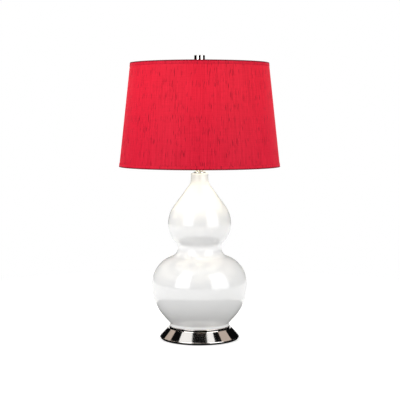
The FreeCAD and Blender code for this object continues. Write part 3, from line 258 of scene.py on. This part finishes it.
def fibre_board():
    finish = Finish("board")
    flecks = finish.noise(finish.place((1, 4, 1)), 260, detail=5, roughness=0.7)
    cloud = finish.noise(finish.place(), 18, detail=3)
    colour = finish.mix(flecks * 0.6 + cloud * 0.4, (0.20, 0.125, 0.07), (0.46, 0.32, 0.20))
    return finish.shade(Base_Color=colour, Roughness=0.8,
                        Normal=finish.bump(flecks, 0.2 * MM, 0.5))


def felt():
    """Pressed felt: matted fibres in two sizes."""
    finish = Finish("felt")
    fibres = finish.noise(finish.place(), 1500, detail=4, roughness=0.75)
    tufts = finish.noise(finish.place(), 180, detail=4, distortion=0.6)
    colour = finish.mix(fibres * 0.6 + tufts * 0.4, (0.030, 0.032, 0.034), (0.15, 0.155, 0.16))
    return finish.shade(Base_Color=colour, Roughness=0.95, Sheen_Weight=0.4,
                        Sheen_Roughness=0.5,
                        Normal=finish.bump(fibres + tufts, 0.5 * MM, 0.8))


def waxed_card():
    finish = Finish("insulating_card")
    fibres = finish.noise(finish.place((1, 1, 0.3)), 700, detail=4)
    colour = finish.mix(fibres, (0.40, 0.28, 0.16), (0.62, 0.48, 0.32))
    return finish.shade(Base_Color=colour, Roughness=0.45,
                        Normal=finish.bump(fibres, 0.1 * MM, 0.4))


def opal_glass():
    """Glass frosted inside, lit by its filament."""
    finish = Finish("opal_glass")
    frost = finish.noise(finish.place(), 800, detail=3)
    cloud = finish.noise(finish.place(), 50, detail=2)
    colour = finish.mix(cloud, (0.56, 0.54, 0.49), (0.62, 0.60, 0.55))
    glow = finish.mix(cloud, (1.0, 0.86, 0.62), (1.0, 0.90, 0.70))
    return finish.shade(Base_Color=colour, Roughness=frost * 0.1 + 0.2,
                        Emission_Color=glow, Emission_Strength=0.16,
                        Normal=finish.bump(frost, 0.03 * MM, 0.3))


def clear_glass():
    finish = Finish("clear_glass")
    seeds = finish.noise(finish.place(), 300, detail=2)
    colour = finish.mix(seeds, (0.86, 0.90, 0.90), (0.94, 0.96, 0.96))
    return finish.shade(Base_Color=colour, Roughness=seeds * 0.05 + 0.02, IOR=1.5,
                        Transmission_Weight=1.0)


def shade_lining():
    """White styrene sheet that backs the cloth, faintly toothed."""
    finish = Finish("shade_lining")
    tooth = finish.noise(finish.place(), 1100, detail=3)
    cloud = finish.noise(finish.place(), 9, detail=3)
    colour = finish.mix(cloud, (0.86, 0.845, 0.81), (0.92, 0.91, 0.88))
    return finish.shade(Base_Color=colour, Roughness=tooth * 0.15 + 0.5,
                        Normal=finish.bump(tooth, 0.05 * MM, 0.5))


THIN_YARN = (0.44, 0.0018, 0.018)
THICK_YARN = (0.73, 0.012, 0.046)
# slub colour: a thicker yarn, its dark tone painted shade along it
SHADED_SLUB = (0.20, 0.000, 0.010)
BRIGHT_YARN = (0.80, 0.032, 0.070)
# painted shadow line at the trim's outer edge, and painted shade where the cloth turns over the
# rim's wire
PAINTED_HEM_SHADOW = (0.20, 0.001, 0.014)
PAINTED_FOLD_SHADE = (0.10, 0.001, 0.010)
# painted glow: emission colours for the bulb's light through thin yarn, thick yarn and slubs
PAINTED_GLOW_THIN = (0.55, 0.010, 0.012)
PAINTED_GLOW_THICK = (1.0, 0.035, 0.030)
PAINTED_GLOW_SLUB = (0.18, 0.0, 0.006)
UNLIT = (0.0, 0.0, 0.0)


def slubbed_cloth(name, glow, rim=0.0):
    """Red cloth, silk-like: upright ribs, thick and thin yarns, short slubs painted dark.

    The map is in metres, so the pattern keeps its real size on every piece of cloth. The slubs'
    dark colour is painted shade along the raised yarn. Next to a rim, where the map starts, the
    cloth is painted darker, a painted shade where it turns over the wire, with a painted shadow
    line at the trim's outer edge and no painted glow. Elsewhere the emission is a painted glow
    for the bulb's light through the cloth, brighter towards the top.
    """
    finish = Finish(name)
    metres = finish.node("ShaderNodeUVMap", {"uv_map": CLOTH_MAP})

    def streaks(across, along, detail, shift=0.0):
        where = finish.node("ShaderNodeMapping", None, metres, (shift * 3.1, shift * 1.7, shift),
                            (0, 0, 0), (1 / across, 1 / along, 1))
        return finish.noise(where, 1, detail=detail)

    ribs = streaks(1.7 * MM, 90 * MM, 1)
    yarns = streaks(4.5 * MM, 240 * MM, 2, shift=5.0)
    shimmer = streaks(45 * MM, 110 * MM, 2, shift=9.0)
    short = streaks(1.9 * MM, 30 * MM, 1, shift=13.0)
    crowd = streaks(50 * MM, 90 * MM, 1, shift=17.0)
    light = streaks(2.2 * MM, 60 * MM, 1, shift=23.0).between(0.62, 0.78)
    weft = streaks(40 * MM, 2.4 * MM, 1, shift=29.0)
    slubs = (short + crowd * 0.20).between(0.73, 0.80)

    tone = (ribs * 0.42 + yarns * 0.28 + shimmer * 0.14 + weft * 0.16 - 0.5) * 1.8 + 0.5
    tone = tone.clamped()
    cloth = finish.mix(tone, THIN_YARN, THICK_YARN)
    # slubs painted dark: painted shade along the raised yarn
    cloth = finish.mix(slubs * 0.85, cloth, SHADED_SLUB)
    cloth = finish.mix(light * 0.25, cloth, BRIGHT_YARN)
    # painted glow for the bulb's light through the cloth, weaker through slubs
    painted_glow = finish.mix(tone, PAINTED_GLOW_THIN, PAINTED_GLOW_THICK)
    painted_glow = finish.mix(slubs * 0.8, painted_glow, PAINTED_GLOW_SLUB)
    relief = ribs * 0.5 + yarns * 0.3 + weft * 0.2 + slubs * 0.9 + light * 0.5

    height = finish.node("ShaderNodeSeparateXYZ", None, metres, output="Y")
    if rim:
        # painted shade where the cloth turns over the rim's wire, and a painted shadow line at the
        # trim's outer edge
        painted_rim_shade = 1 - height.between(0.4 * rim, rim)
        painted_edge_shadow = height.between(TRIM_OUTSIDE - 2 * MM, TRIM_OUTSIDE)
        cloth = finish.mix(painted_edge_shadow * 0.35, cloth, PAINTED_HEM_SHADOW)
        cloth = finish.mix(painted_rim_shade * 0.85, cloth, PAINTED_FOLD_SHADE)
        painted_glow = finish.mix(painted_rim_shade, painted_glow, UNLIT)
    else:
        # painted glow, brighter towards the top of the shade
        painted_glow_rise = height.between(shade_low, shade_high - 40 * MM)
        painted_glow = finish.mix(painted_glow_rise * 0.6 + 0.4, UNLIT, painted_glow)
    return finish.shade(Base_Color=cloth, Roughness=ribs * 0.12 + 0.56,
                        IOR=1.3, Specular_IOR_Level=0.22,
                        Emission_Color=painted_glow, Emission_Strength=glow,
                        Normal=finish.bump(relief, 0.45 * MM, 0.55))


FINISHES = {
    "felt": felt(),
    "board": fibre_board(),
    "polished_nickel": polished_nickel(),
    "black_plastic": plastic("black_plastic", (0.012, 0.012, 0.013), (0.03, 0.03, 0.03), 0.32),
    "cast_weight": cast_iron(),
    "zinc_steel": plated_metal("zinc_steel", (0.50, 0.50, 0.48), (0.70, 0.70, 0.68), 0.25),
    "soft_gasket": plastic("soft_gasket", (0.20, 0.19, 0.18), (0.34, 0.33, 0.31), 0.65),
    "white_glaze": white_glaze(),
    "harp_nickel": plated_metal("harp_nickel", (0.50, 0.48, 0.45), (0.66, 0.635, 0.60), 0.14),
    "socket_metal": plated_metal("socket_metal", (0.64, 0.61, 0.57), (0.80, 0.77, 0.73), 0.16,
                                 (1, 1, 8)),
    "phenolic": plastic("phenolic", (0.02, 0.014, 0.012), (0.06, 0.045, 0.04), 0.35),
    "brass_parts": plated_metal("brass_parts", (0.62, 0.44, 0.17), (0.84, 0.66, 0.32), 0.18,
                                (1, 1, 10)),
    "insulating_card": waxed_card(),
    "bulb_insulator": plastic("bulb_insulator", (0.012, 0.012, 0.016), (0.04, 0.04, 0.05), 0.12,
                              depth=0.01),
    "bulb_metal": plated_metal("bulb_metal", (0.70, 0.70, 0.70), (0.86, 0.86, 0.86), 0.2),
    "opal_glass": opal_glass(),
    "clear_glass": clear_glass(),
    "filament": plated_metal("filament", (0.22, 0.21, 0.20), (0.42, 0.41, 0.40), 0.35),
    "white_wire": plastic("white_wire", (0.80, 0.79, 0.76), (0.88, 0.87, 0.84), 0.30, depth=0.02),
    "shade_lining": shade_lining(),
    # the number is the strength of the cloth's painted glow
    "red_silk": slubbed_cloth("red_silk", 0.27),
    "red_silk_trim": slubbed_cloth("red_silk_trim", 0.14, rim=3.2 * MM),
}


# ---------------------------------------------------------------- mesh helpers

def finished(name, mesh, slot, body, replaced, smooth_angle=40):
    """Make a bmesh a piece: named, smooth, finished, riding on its body."""
    bmesh.ops.remove_doubles(mesh, verts=mesh.verts, dist=0.001 * MM)
    bmesh.ops.recalc_face_normals(mesh, faces=mesh.faces)
    for edge in mesh.edges:
        if len(edge.link_faces) == 2:
            edge.smooth = edge.calc_face_angle(0) < math.radians(smooth_angle)
    for face in mesh.faces:
        face.smooth = True
    data = bpy.data.meshes.new(name)
    mesh.to_mesh(data)
    mesh.free()
    piece = bpy.data.objects.new(name, data)
    bpy.context.scene.collection.objects.link(piece)
    data.materials.append(FINISHES[slot])
    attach(piece, body)
    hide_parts(*replaced)
    return piece


def chain(mesh, points, closed=False):
    """A run of edges through (radius, height) points, drawn in the XZ plane."""
    verts = [mesh.verts.new((x, 0, z)) for x, z in points]
    pairs = list(zip(verts, verts[1:]))
    if closed:
        pairs.append((verts[-1], verts[0]))
    return verts + [mesh.edges.new(pair) for pair in pairs]


def turned(points, steps, closed=False):
    """A chain of points turned once round the lamp's axis."""
    mesh = bmesh.new()
    shape = chain(mesh, points, closed)
    bmesh.ops.spin(mesh, geom=shape, cent=(0, 0, 0), axis=(0, 0, 1), angle=FULL_TURN,
                   steps=steps, use_merge=True)
    return mesh


def arc(centre, radius, start, end, step):
    """Points on an arc of the profile, from one angle to another, both ends included."""
    count = max(2, round(abs(end - start) * radius / step))
    return [(centre.x + radius * math.cos(start + (end - start) * i / count),
             centre.y + radius * math.sin(start + (end - start) * i / count))
            for i in range(count + 1)]


def run(start, end, step):
    """Points on a straight stretch, without its two ends."""
    start = Vector(start)
    end = Vector(end)
    count = max(1, round((end - start).length / step))
    return [tuple(start.lerp(end, i / count)) for i in range(1, count)]


# ---------------------------------------------------------------- ceramic gourd

FOOT_RADIUS = 81.7 * MM
FOOT_BAND = 6.3 * MM
LOWER_RADIUS = 133.0 * MM
LOWER_RISE = 113.6 * MM
LOWER_SHOULDER_ARC = 82.5 * MM
LOWER_SIDE_ARC = 131.0 * MM
WAIST_ARC = 24.7 * MM
UPPER_RADIUS = 87.5 * MM
UPPER_RISE = 281.8 * MM
UPPER_SIDE_ARC = 73.0 * MM
UPPER_SHOULDER_ARC = 87.0 * MM
NECK_ARC = 32.0 * MM
NECK_RADIUS = 23.8 * MM
NECK_LENGTH = 16.0 * MM
NECK_ROUNDING = 3.5 * MM
PIPE_HOLE = 6.5 * MM


def heading(start, end):
    return math.atan2(end.y - start.y, end.x - start.x)


def waist_centre(side, side_arc, shoulder, shoulder_arc):
    """Centre of the hollow arc that touches the upper side and the lower shoulder."""
    from_side = side_arc + WAIST_ARC
    from_shoulder = shoulder_arc + WAIST_ARC
    span = (shoulder - side).length
    along = (span ** 2 + from_side ** 2 - from_shoulder ** 2) / (2 * span)
    across = math.sqrt(from_side ** 2 - along ** 2)
    forward = (shoulder - side).normalized()
    sideways = Vector((-forward.y, forward.x))
    middle = side + forward * along
    return max(middle + sideways * across, middle - sideways * across, key=lambda p: p.x)


def gourd_profile(bottom, top, step):
    """The gourd's outer line, from the pipe's hole under its foot up to the hole in its neck."""
    upper_shoulder = Vector((UPPER_RADIUS - UPPER_SHOULDER_ARC, bottom + UPPER_RISE))
    upper_side = Vector((UPPER_RADIUS - UPPER_SIDE_ARC, bottom + UPPER_RISE))
    lower_shoulder = Vector((LOWER_RADIUS - LOWER_SHOULDER_ARC, bottom + LOWER_RISE))
    lower_side = Vector((LOWER_RADIUS - LOWER_SIDE_ARC, bottom + LOWER_RISE))
    waist = waist_centre(upper_side, UPPER_SIDE_ARC, lower_shoulder, LOWER_SHOULDER_ARC)
    neck = Vector((NECK_RADIUS + NECK_ARC, top - NECK_LENGTH))
    rim = Vector((NECK_RADIUS - NECK_ROUNDING, top - NECK_ROUNDING))
    foot = Vector((FOOT_RADIUS, bottom + FOOT_BAND))

    haunch_span = (foot - lower_side).length
    haunch = heading(lower_side, foot) + math.acos(LOWER_SIDE_ARC / haunch_span)
    to_upper = heading(upper_side, waist)
    to_lower = heading(lower_shoulder, waist)
    neck_span = (upper_shoulder - neck).length
    opening = math.acos((NECK_ARC + UPPER_SHOULDER_ARC) / neck_span)
    crossing = heading(neck, upper_shoulder) - opening

    edge = 0.6 * MM
    points = [(PIPE_HOLE, bottom), (FOOT_RADIUS - edge, bottom), (FOOT_RADIUS, bottom + edge)]
    points += run(points[-1], foot, step) + [tuple(foot)]
    side = arc(lower_side, LOWER_SIDE_ARC, haunch, 0, step)
    points += run(foot, side[0], step) + side
    points += arc(lower_shoulder, LOWER_SHOULDER_ARC, 0, to_lower, step)[1:]
    points += arc(waist, WAIST_ARC, to_lower - math.pi, to_upper - math.pi, step / 2)[1:]
    points += arc(upper_side, UPPER_SIDE_ARC, to_upper, 0, step)[1:]
    shoulder = arc(upper_shoulder, UPPER_SHOULDER_ARC, 0, crossing + math.pi, step)
    points += shoulder[1:]
    throat = arc(neck, NECK_ARC, crossing, -math.pi, step / 2)
    points += run(shoulder[-1], throat[0], step) + throat
    points += run(throat[-1], (NECK_RADIUS, rim.y), step)
    points += arc(rim, NECK_ROUNDING, 0, math.pi / 2, NECK_ROUNDING / 4)
    points += [(PIPE_HOLE, top)]
    return points


def ceramic_gourd():
    """The whole glazed gourd in one skin, closed through the pipe's hole.

    Mirrors don't show it, so that the base keeps its clean dark bands.
    """
    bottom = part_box("ceramic_lower")[0].z
    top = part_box("ceramic_neck")[1].z
    mesh = turned(gourd_profile(bottom, top, 3.0 * MM), 192, closed=True)
    piece = finished("ceramic_gourd", mesh, "white_glaze", "stand",
                     ("ceramic_lower", "ceramic_upper", "ceramic_neck"))
    piece.visible_glossy = False


# ---------------------------------------------------------------- shade

def add_cloth_map(mesh, start=0.0, way=1):
    """Map the cloth in metres: round the shade, and up or down it from a starting height."""
    layer = mesh.loops.layers.uv.new(CLOTH_MAP)
    for face in mesh.faces:
        middle = face.calc_center_median()
        turn = math.atan2(middle.x, -middle.y)
        for loop in face.loops:
            angle = math.atan2(loop.vert.co.x, -loop.vert.co.y)
            if angle - turn > math.pi:
                angle -= FULL_TURN
            if turn - angle > math.pi:
                angle += FULL_TURN
            loop[layer].uv = (angle * low_radius, (loop.vert.co.z - start) * way)


def sheet_outline(outside, thickness, rows):
    """Closed outline of a sheet as tall as the shade, set in or out from the cloth's face."""
    heights = [shade_low + (shade_high - shade_low) * i / rows for i in range(rows + 1)]
    outer = [(shade_radius(height) + outside, height) for height in heights]
    inner = [(radius - thickness, height) for radius, height in reversed(outer)]
    return outer + inner


def shade_cloth():
    mesh = turned(sheet_outline(0, SHEET, 40), SHADE_STEPS, closed=True)
    add_cloth_map(mesh)
    return finished("shade_cloth", mesh, "red_silk", "shade", ("shade_fabric",))


def shade_backing():
    mesh = turned(sheet_outline(-SHEET, SHEET, 12), SHADE_STEPS, closed=True)
    return finished("shade_backing", mesh, "shade_lining", "shade", ("shade_liner",))


def folded_edging(name, node, edge, inwards):
    """Cloth folded over the rim and its ring: one leg outside, a rolled lip, one leg inside."""
    both_sheets = SHEET * 2
    roll = (TRIM_PROUD * 2 + both_sheets) / 2
    middle = shade_radius(edge) - both_sheets / 2
    outer_end = edge + inwards * TRIM_OUTSIDE
    inner_end = edge + inwards * TRIM_INSIDE
    profile = [(shade_radius(outer_end), outer_end),
               (shade_radius(outer_end) + TRIM_PROUD * 0.7,
                edge + inwards * (TRIM_OUTSIDE - 0.1 * MM))]
    for i in range(1, 6):
        height = edge + inwards * TRIM_OUTSIDE * (1 - i / 6)
        profile.append((shade_radius(height) + TRIM_PROUD, height))
    for i in range(9):
        angle = math.pi * i / 8
        profile.append((middle + roll * math.cos(angle),
                        edge - inwards * TRIM_PROUD * math.sin(angle)))
    for i in range(1, 6):
        height = edge + inwards * TRIM_INSIDE * i / 5
        profile.append((shade_radius(height) - both_sheets - TRIM_PROUD, height))
    profile.append((shade_radius(inner_end) - both_sheets, inner_end))
    mesh = turned(profile, SHADE_STEPS, closed=True)
    add_cloth_map(mesh, start=edge, way=inwards)
    return finished(name, mesh, "red_silk_trim", "shade", (node,))


def cloth_lap():
    """Where the cloth's end laps over its start, at the back."""
    mesh = bmesh.new()
    shape = chain(mesh, sheet_outline(LAP_PROUD, LAP_PROUD, 40), closed=True)
    start = Matrix.Rotation(math.pi / 2 - SEAM_WIDTH / 2, 3, "Z")
    bmesh.ops.rotate(mesh, verts=mesh.verts, cent=(0, 0, 0), matrix=start)
    bmesh.ops.spin(mesh, geom=shape, cent=(0, 0, 0), axis=(0, 0, 1), angle=SEAM_WIDTH, steps=8)
    bmesh.ops.holes_fill(mesh, edges=[e for e in mesh.edges if e.is_boundary], sides=0)
    add_cloth_map(mesh)
    return finished("cloth_lap", mesh, "red_silk", "shade", ("shade_seam",))


# ---------------------------------------------------------------- soft rings and felt

def soft_ring(name, node, body, slot, bulge):
    """A flat soft ring that bulges a little where it is squeezed."""
    low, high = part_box(node)
    outer = high.x
    inner = min(math.hypot(v.co.x, v.co.y) for v in frame["nodes"][node].data.vertices)
    middle = (low.z + high.z) / 2
    points = [(inner, low.z), (outer - bulge, low.z), (outer, middle), (outer - bulge, high.z),
              (inner, high.z)]
    return finished(name, turned(points, 96, closed=True), slot, body, (node,), 60)


def felt_underside():
    """Felt disc with a soft edge."""
    low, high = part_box("felt_pad")
    edge = 0.5 * MM
    middle = (low.z + high.z) / 2
    points = [(0, low.z)]
    points += [(high.x * share, low.z) for share in (0.2, 0.4, 0.6, 0.8)]
    points += [(high.x - edge, low.z), (high.x, middle), (high.x - edge, high.z), (0, high.z)]
    mesh = turned(points, 144, closed=True)
    return finished("felt_underside", mesh, "felt", "stand", ("felt_pad",), 70)


# ---------------------------------------------------------------- the lamp

ceramic_gourd()
shade_backing()
cloth = shade_cloth()
top_edging = folded_edging("top_edging", "shade_top_trim", shade_high, -1)
bottom_edging = folded_edging("bottom_edging", "shade_bottom_trim", shade_low, 1)
lap = cloth_lap()
soft_ring("foot_cushion", "foot_gasket", "stand", "soft_gasket", 0.25 * MM)
soft_ring("neck_cushion", "neck_gasket", "stand", "soft_gasket", 0.3 * MM)
felt_disc = felt_underside()

for node in frame["nodes"].values():
    for slot in node.material_slots:
        slot.material = FINISHES[slot.material.name.split(".")[0]]


# ---------------------------------------------------------------- studio

FLOOR_HEIGHT = -0.3 * MM
FLOOR_RADIUS = 6.0
FLOOR_GLOW = 0.42
CARD_DISTANCE = 3.4
CARD_ROWS = 12
CARD_STEPS = 48
PANEL_DISTANCE = 3.0
# a dark ring that only mirrors see: a painted shadow under the skirt's lip
FOOT_SHADOW_RING = (104 * MM, 350 * MM)
FOOT_SHADOW_HEIGHT = -0.2 * MM
WORLD_LIGHT = 0.54
WARM_LIGHT = (1.0, 0.91, 0.68)
WARM_LIGHT_DOWN = (1.0, 0.90, 0.50)
CAMERA_PLACE = (0.0012, -3.111, 0.620)
CAMERA_TILT = math.radians(4.285)


def stage_object(name, mesh, material):
    data = bpy.data.meshes.new(name)
    mesh.to_mesh(data)
    mesh.free()
    thing = bpy.data.objects.new(name, data)
    bpy.context.scene.collection.objects.link(thing)
    data.materials.append(material)
    return thing


def floor_finish():
    """Pale floor: white to a camera, a mirror or glass, and it keeps the lamp's shadow.

    It gives less light than it shows, and from below it is clear.
    """
    finish = Finish("studio_floor")
    grain = finish.noise(finish.place(), 40, detail=2)
    colour = finish.mix(grain, (0.24, 0.24, 0.24), (0.28, 0.28, 0.28))
    pale = finish.mix(grain, (0.86, 0.86, 0.86), (0.90, 0.90, 0.90))
    where = finish.node("ShaderNodeTexCoord", None, output="Object")
    reach = finish.node("ShaderNodeVectorMath", {"operation": "LENGTH"}, where, output="Value")
    near = finish.node("ShaderNodeAddShader", None,
                       finish.node("ShaderNodeBsdfDiffuse", None, pale),
                       finish.node("ShaderNodeEmission", None, (1, 1, 1), FLOOR_GLOW))
    away = finish.node("ShaderNodeEmission", None, (1, 1, 1), 1.0)
    shown = finish.node("ShaderNodeMixShader", None, reach.between(0.3, 1.4), near, away)
    matt = finish.node("ShaderNodeBsdfDiffuse", None, colour)
    top = finish.node("ShaderNodeMixShader", None, finish.seen(), matt, shown)
    under = finish.node("ShaderNodeNewGeometry", None, output="Backfacing")
    clear = finish.node("ShaderNodeBsdfTransparent", None)
    return finish.surface(finish.node("ShaderNodeMixShader", None, under, top, clear))


def floor():
    """Open under the felt, where the lamp hides it, so that light reaches the felt as well."""
    under_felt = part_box("felt_pad")[1].x - 5 * MM
    mesh = turned([(under_felt, FLOOR_HEIGHT), (FLOOR_RADIUS, FLOOR_HEIGHT)], 96)
    bmesh.ops.recalc_face_normals(mesh, faces=mesh.faces)
    if next(iter(mesh.faces)).normal.z < 0:
        bmesh.ops.reverse_faces(mesh, faces=mesh.faces)
    return stage_object("studio_floor", mesh, floor_finish())


def card_finish(name, colour, strength=1.0):
    """Card that is as bright as it is written, whatever lights it."""
    finish = Finish(name)
    weave = finish.noise(finish.place(), 60, detail=2)
    tone = finish.mix(weave, tuple(c * 0.9 for c in colour), colour)
    return finish.surface(finish.node("ShaderNodeEmission", None, tone, strength))


def mirror_only(thing):
    """Show it in reflections, and let it give no light or shadow."""
    thing.visible_camera = False
    thing.visible_diffuse = False
    thing.visible_shadow = False
    thing.visible_transmission = False


def foot_shadow_card():
    """A narrow dark ring on the floor that the skirt's lower edge mirrors: a painted shadow for the
    dark gap under its lip.
    """
    mesh = turned([(radius, FOOT_SHADOW_HEIGHT) for radius in FOOT_SHADOW_RING], 96)
    mirror_only(stage_object("card_foot_shadow", mesh, BLACK_CARD))


def card(name, material, elevations, turns, distance=CARD_DISTANCE):
    """A bent card round the lamp that only mirrors see, between elevations and turns in degrees."""
    mesh = bmesh.new()
    low, high = (math.radians(angle) for angle in elevations)
    points = arc(Vector((0, 0)), distance, low, high, distance * (high - low) / CARD_ROWS)
    shape = chain(mesh, points)
    start, end = (math.radians(angle - 90) for angle in turns)
    bmesh.ops.rotate(mesh, verts=mesh.verts, cent=(0, 0, 0), matrix=Matrix.Rotation(start, 3, "Z"))
    bmesh.ops.spin(mesh, geom=shape, cent=(0, 0, 0), axis=(0, 0, 1), angle=end - start,
                   steps=CARD_STEPS)
    mirror_only(stage_object(name, mesh, material))


BLACK_CARD = card_finish("black_card", (0.004, 0.004, 0.004))
BEIGE_CARD = card_finish("beige_card", (0.56, 0.47, 0.41))
PANEL = card_finish("softbox_face", (1.0, 1.0, 1.0), 2.8)


def lamp(name, kind, place, aim, energy, colour, **sizes):
    data = bpy.data.lights.new(name, kind)
    data.energy = energy
    data.color = colour
    for key, value in sizes.items():
        setattr(data, key, value)
    thing = bpy.data.objects.new(name, data)
    bpy.context.scene.collection.objects.link(thing)
    thing.location = place
    thing.rotation_euler = (Vector(aim) - Vector(place)).to_track_quat("-Z", "Y").to_euler()
    thing.visible_camera = False
    return thing


def softbox(name, turn, distance, height, width, tall, energy):
    """An upright soft light; a turn of 0 is beside the camera."""
    angle = math.radians(turn)
    place = (distance * math.sin(angle), -distance * math.cos(angle), height)
    thing = lamp(name, "AREA", place, (0, 0, height), energy, (1, 1, 1), shape="RECTANGLE",
                 size=width, size_y=tall)
    thing.visible_glossy = False
    return thing


def cards():
    """Dark and beige cards all round, which give the polished base and finial their bands; a dark
    ring is painted shadow under the lip.
    """
    foot_shadow_card()
    card("card_overhead", BLACK_CARD, (68, 90), (0, 360))
    for side, turns, low_turns, marks in (
            ("left", (180, 360), (188, 360), (-2, 24, 38.5, 53)),
            ("right", (0, 180), (0, 172), (-2, 33, 50.5, 60))):
        card("card_low_" + side, BLACK_CARD, marks[0:2], low_turns)
        card("card_middle_" + side, BEIGE_CARD, marks[1:3], turns)
        card("card_high_" + side, BLACK_CARD, marks[2:4], turns)
    card("card_back_foot", BLACK_CARD, (-2, 8.5), (172, 188))
    card("card_back_top", BLACK_CARD, (14, 24), (172, 188))


def softboxes():
    """Soft lights round the lamp, and the lit faces that mirrors and glaze show for two of them."""
    softbox("softbox_left", -46, 2.0, 0.95, 1.3, 1.9, 25)
    softbox("softbox_right", 52, 2.1, 0.38, 1.3, 1.1, 21)
    for side, way in (("left", -1), ("right", 1)):
        softbox("softbox_rear_" + side, way * 150, 2.6, 1.0, 1.2, 1.6, 20)
        softbox("softbox_side_" + side, way * 98, 2.2, 0.20, 1.0, 0.4, 7)
    card("panel_left", PANEL, (3, 60), (-60, -23), PANEL_DISTANCE)
    card("panel_right", PANEL, (0, 54), (29, 74), PANEL_DISTANCE)


def bulb_lights():
    """The bulb's own light, from just outside its globe, and more of it down the neck."""
    globe_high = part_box("bulb_globe")[1]
    globe_radius = globe_high.x
    centre = (0, 0, globe_high.z - globe_radius)
    outside = globe_radius + 1 * MM
    around = lamp("bulb_light", "POINT", centre, (0, 0, 0), 0.75, WARM_LIGHT,
                  shadow_soft_size=outside, use_soft_falloff=False)
    down = lamp("bulb_light_down", "SPOT", centre, (0, 0, 0), 2.0, WARM_LIGHT_DOWN,
                shadow_soft_size=outside, use_soft_falloff=False,
                spot_size=math.radians(56), spot_blend=0.4)
    bulb = frame["bodies"]["bulb"]
    for thing in (around, down):
        thing.parent = bulb
        thing.matrix_parent_inverse = bulb.matrix_world.inverted()


def world():
    """White where a camera, a mirror or glass looks, and a softer light on everything else."""
    sky = Finish("studio", bpy.data.worlds)
    light = sky.node("ShaderNodeBackground", None, (1, 1, 1), WORLD_LIGHT)
    white = sky.node("ShaderNodeBackground", None, (1, 1, 1), 1.0)
    shown = sky.node("ShaderNodeMixShader", None, sky.seen(), light, white)
    bpy.context.scene.world = sky.surface(shown, "ShaderNodeOutputWorld")


def camera():
    """At the photograph's viewing angle, looking down a little from in front."""
    data = bpy.data.cameras.new("camera")
    data.sensor_width = 36.0
    data.lens = 101.3
    data.clip_end = 50
    thing = bpy.data.objects.new("camera", data)
    bpy.context.scene.collection.objects.link(thing)
    thing.location = CAMERA_PLACE
    thing.rotation_euler = (math.radians(90) - CAMERA_TILT, 0, 0)
    bpy.context.scene.camera = thing


floor()
cards()
softboxes()
bulb_lights()
world()
camera()
bpy.context.scene.view_settings.view_transform = "Standard"
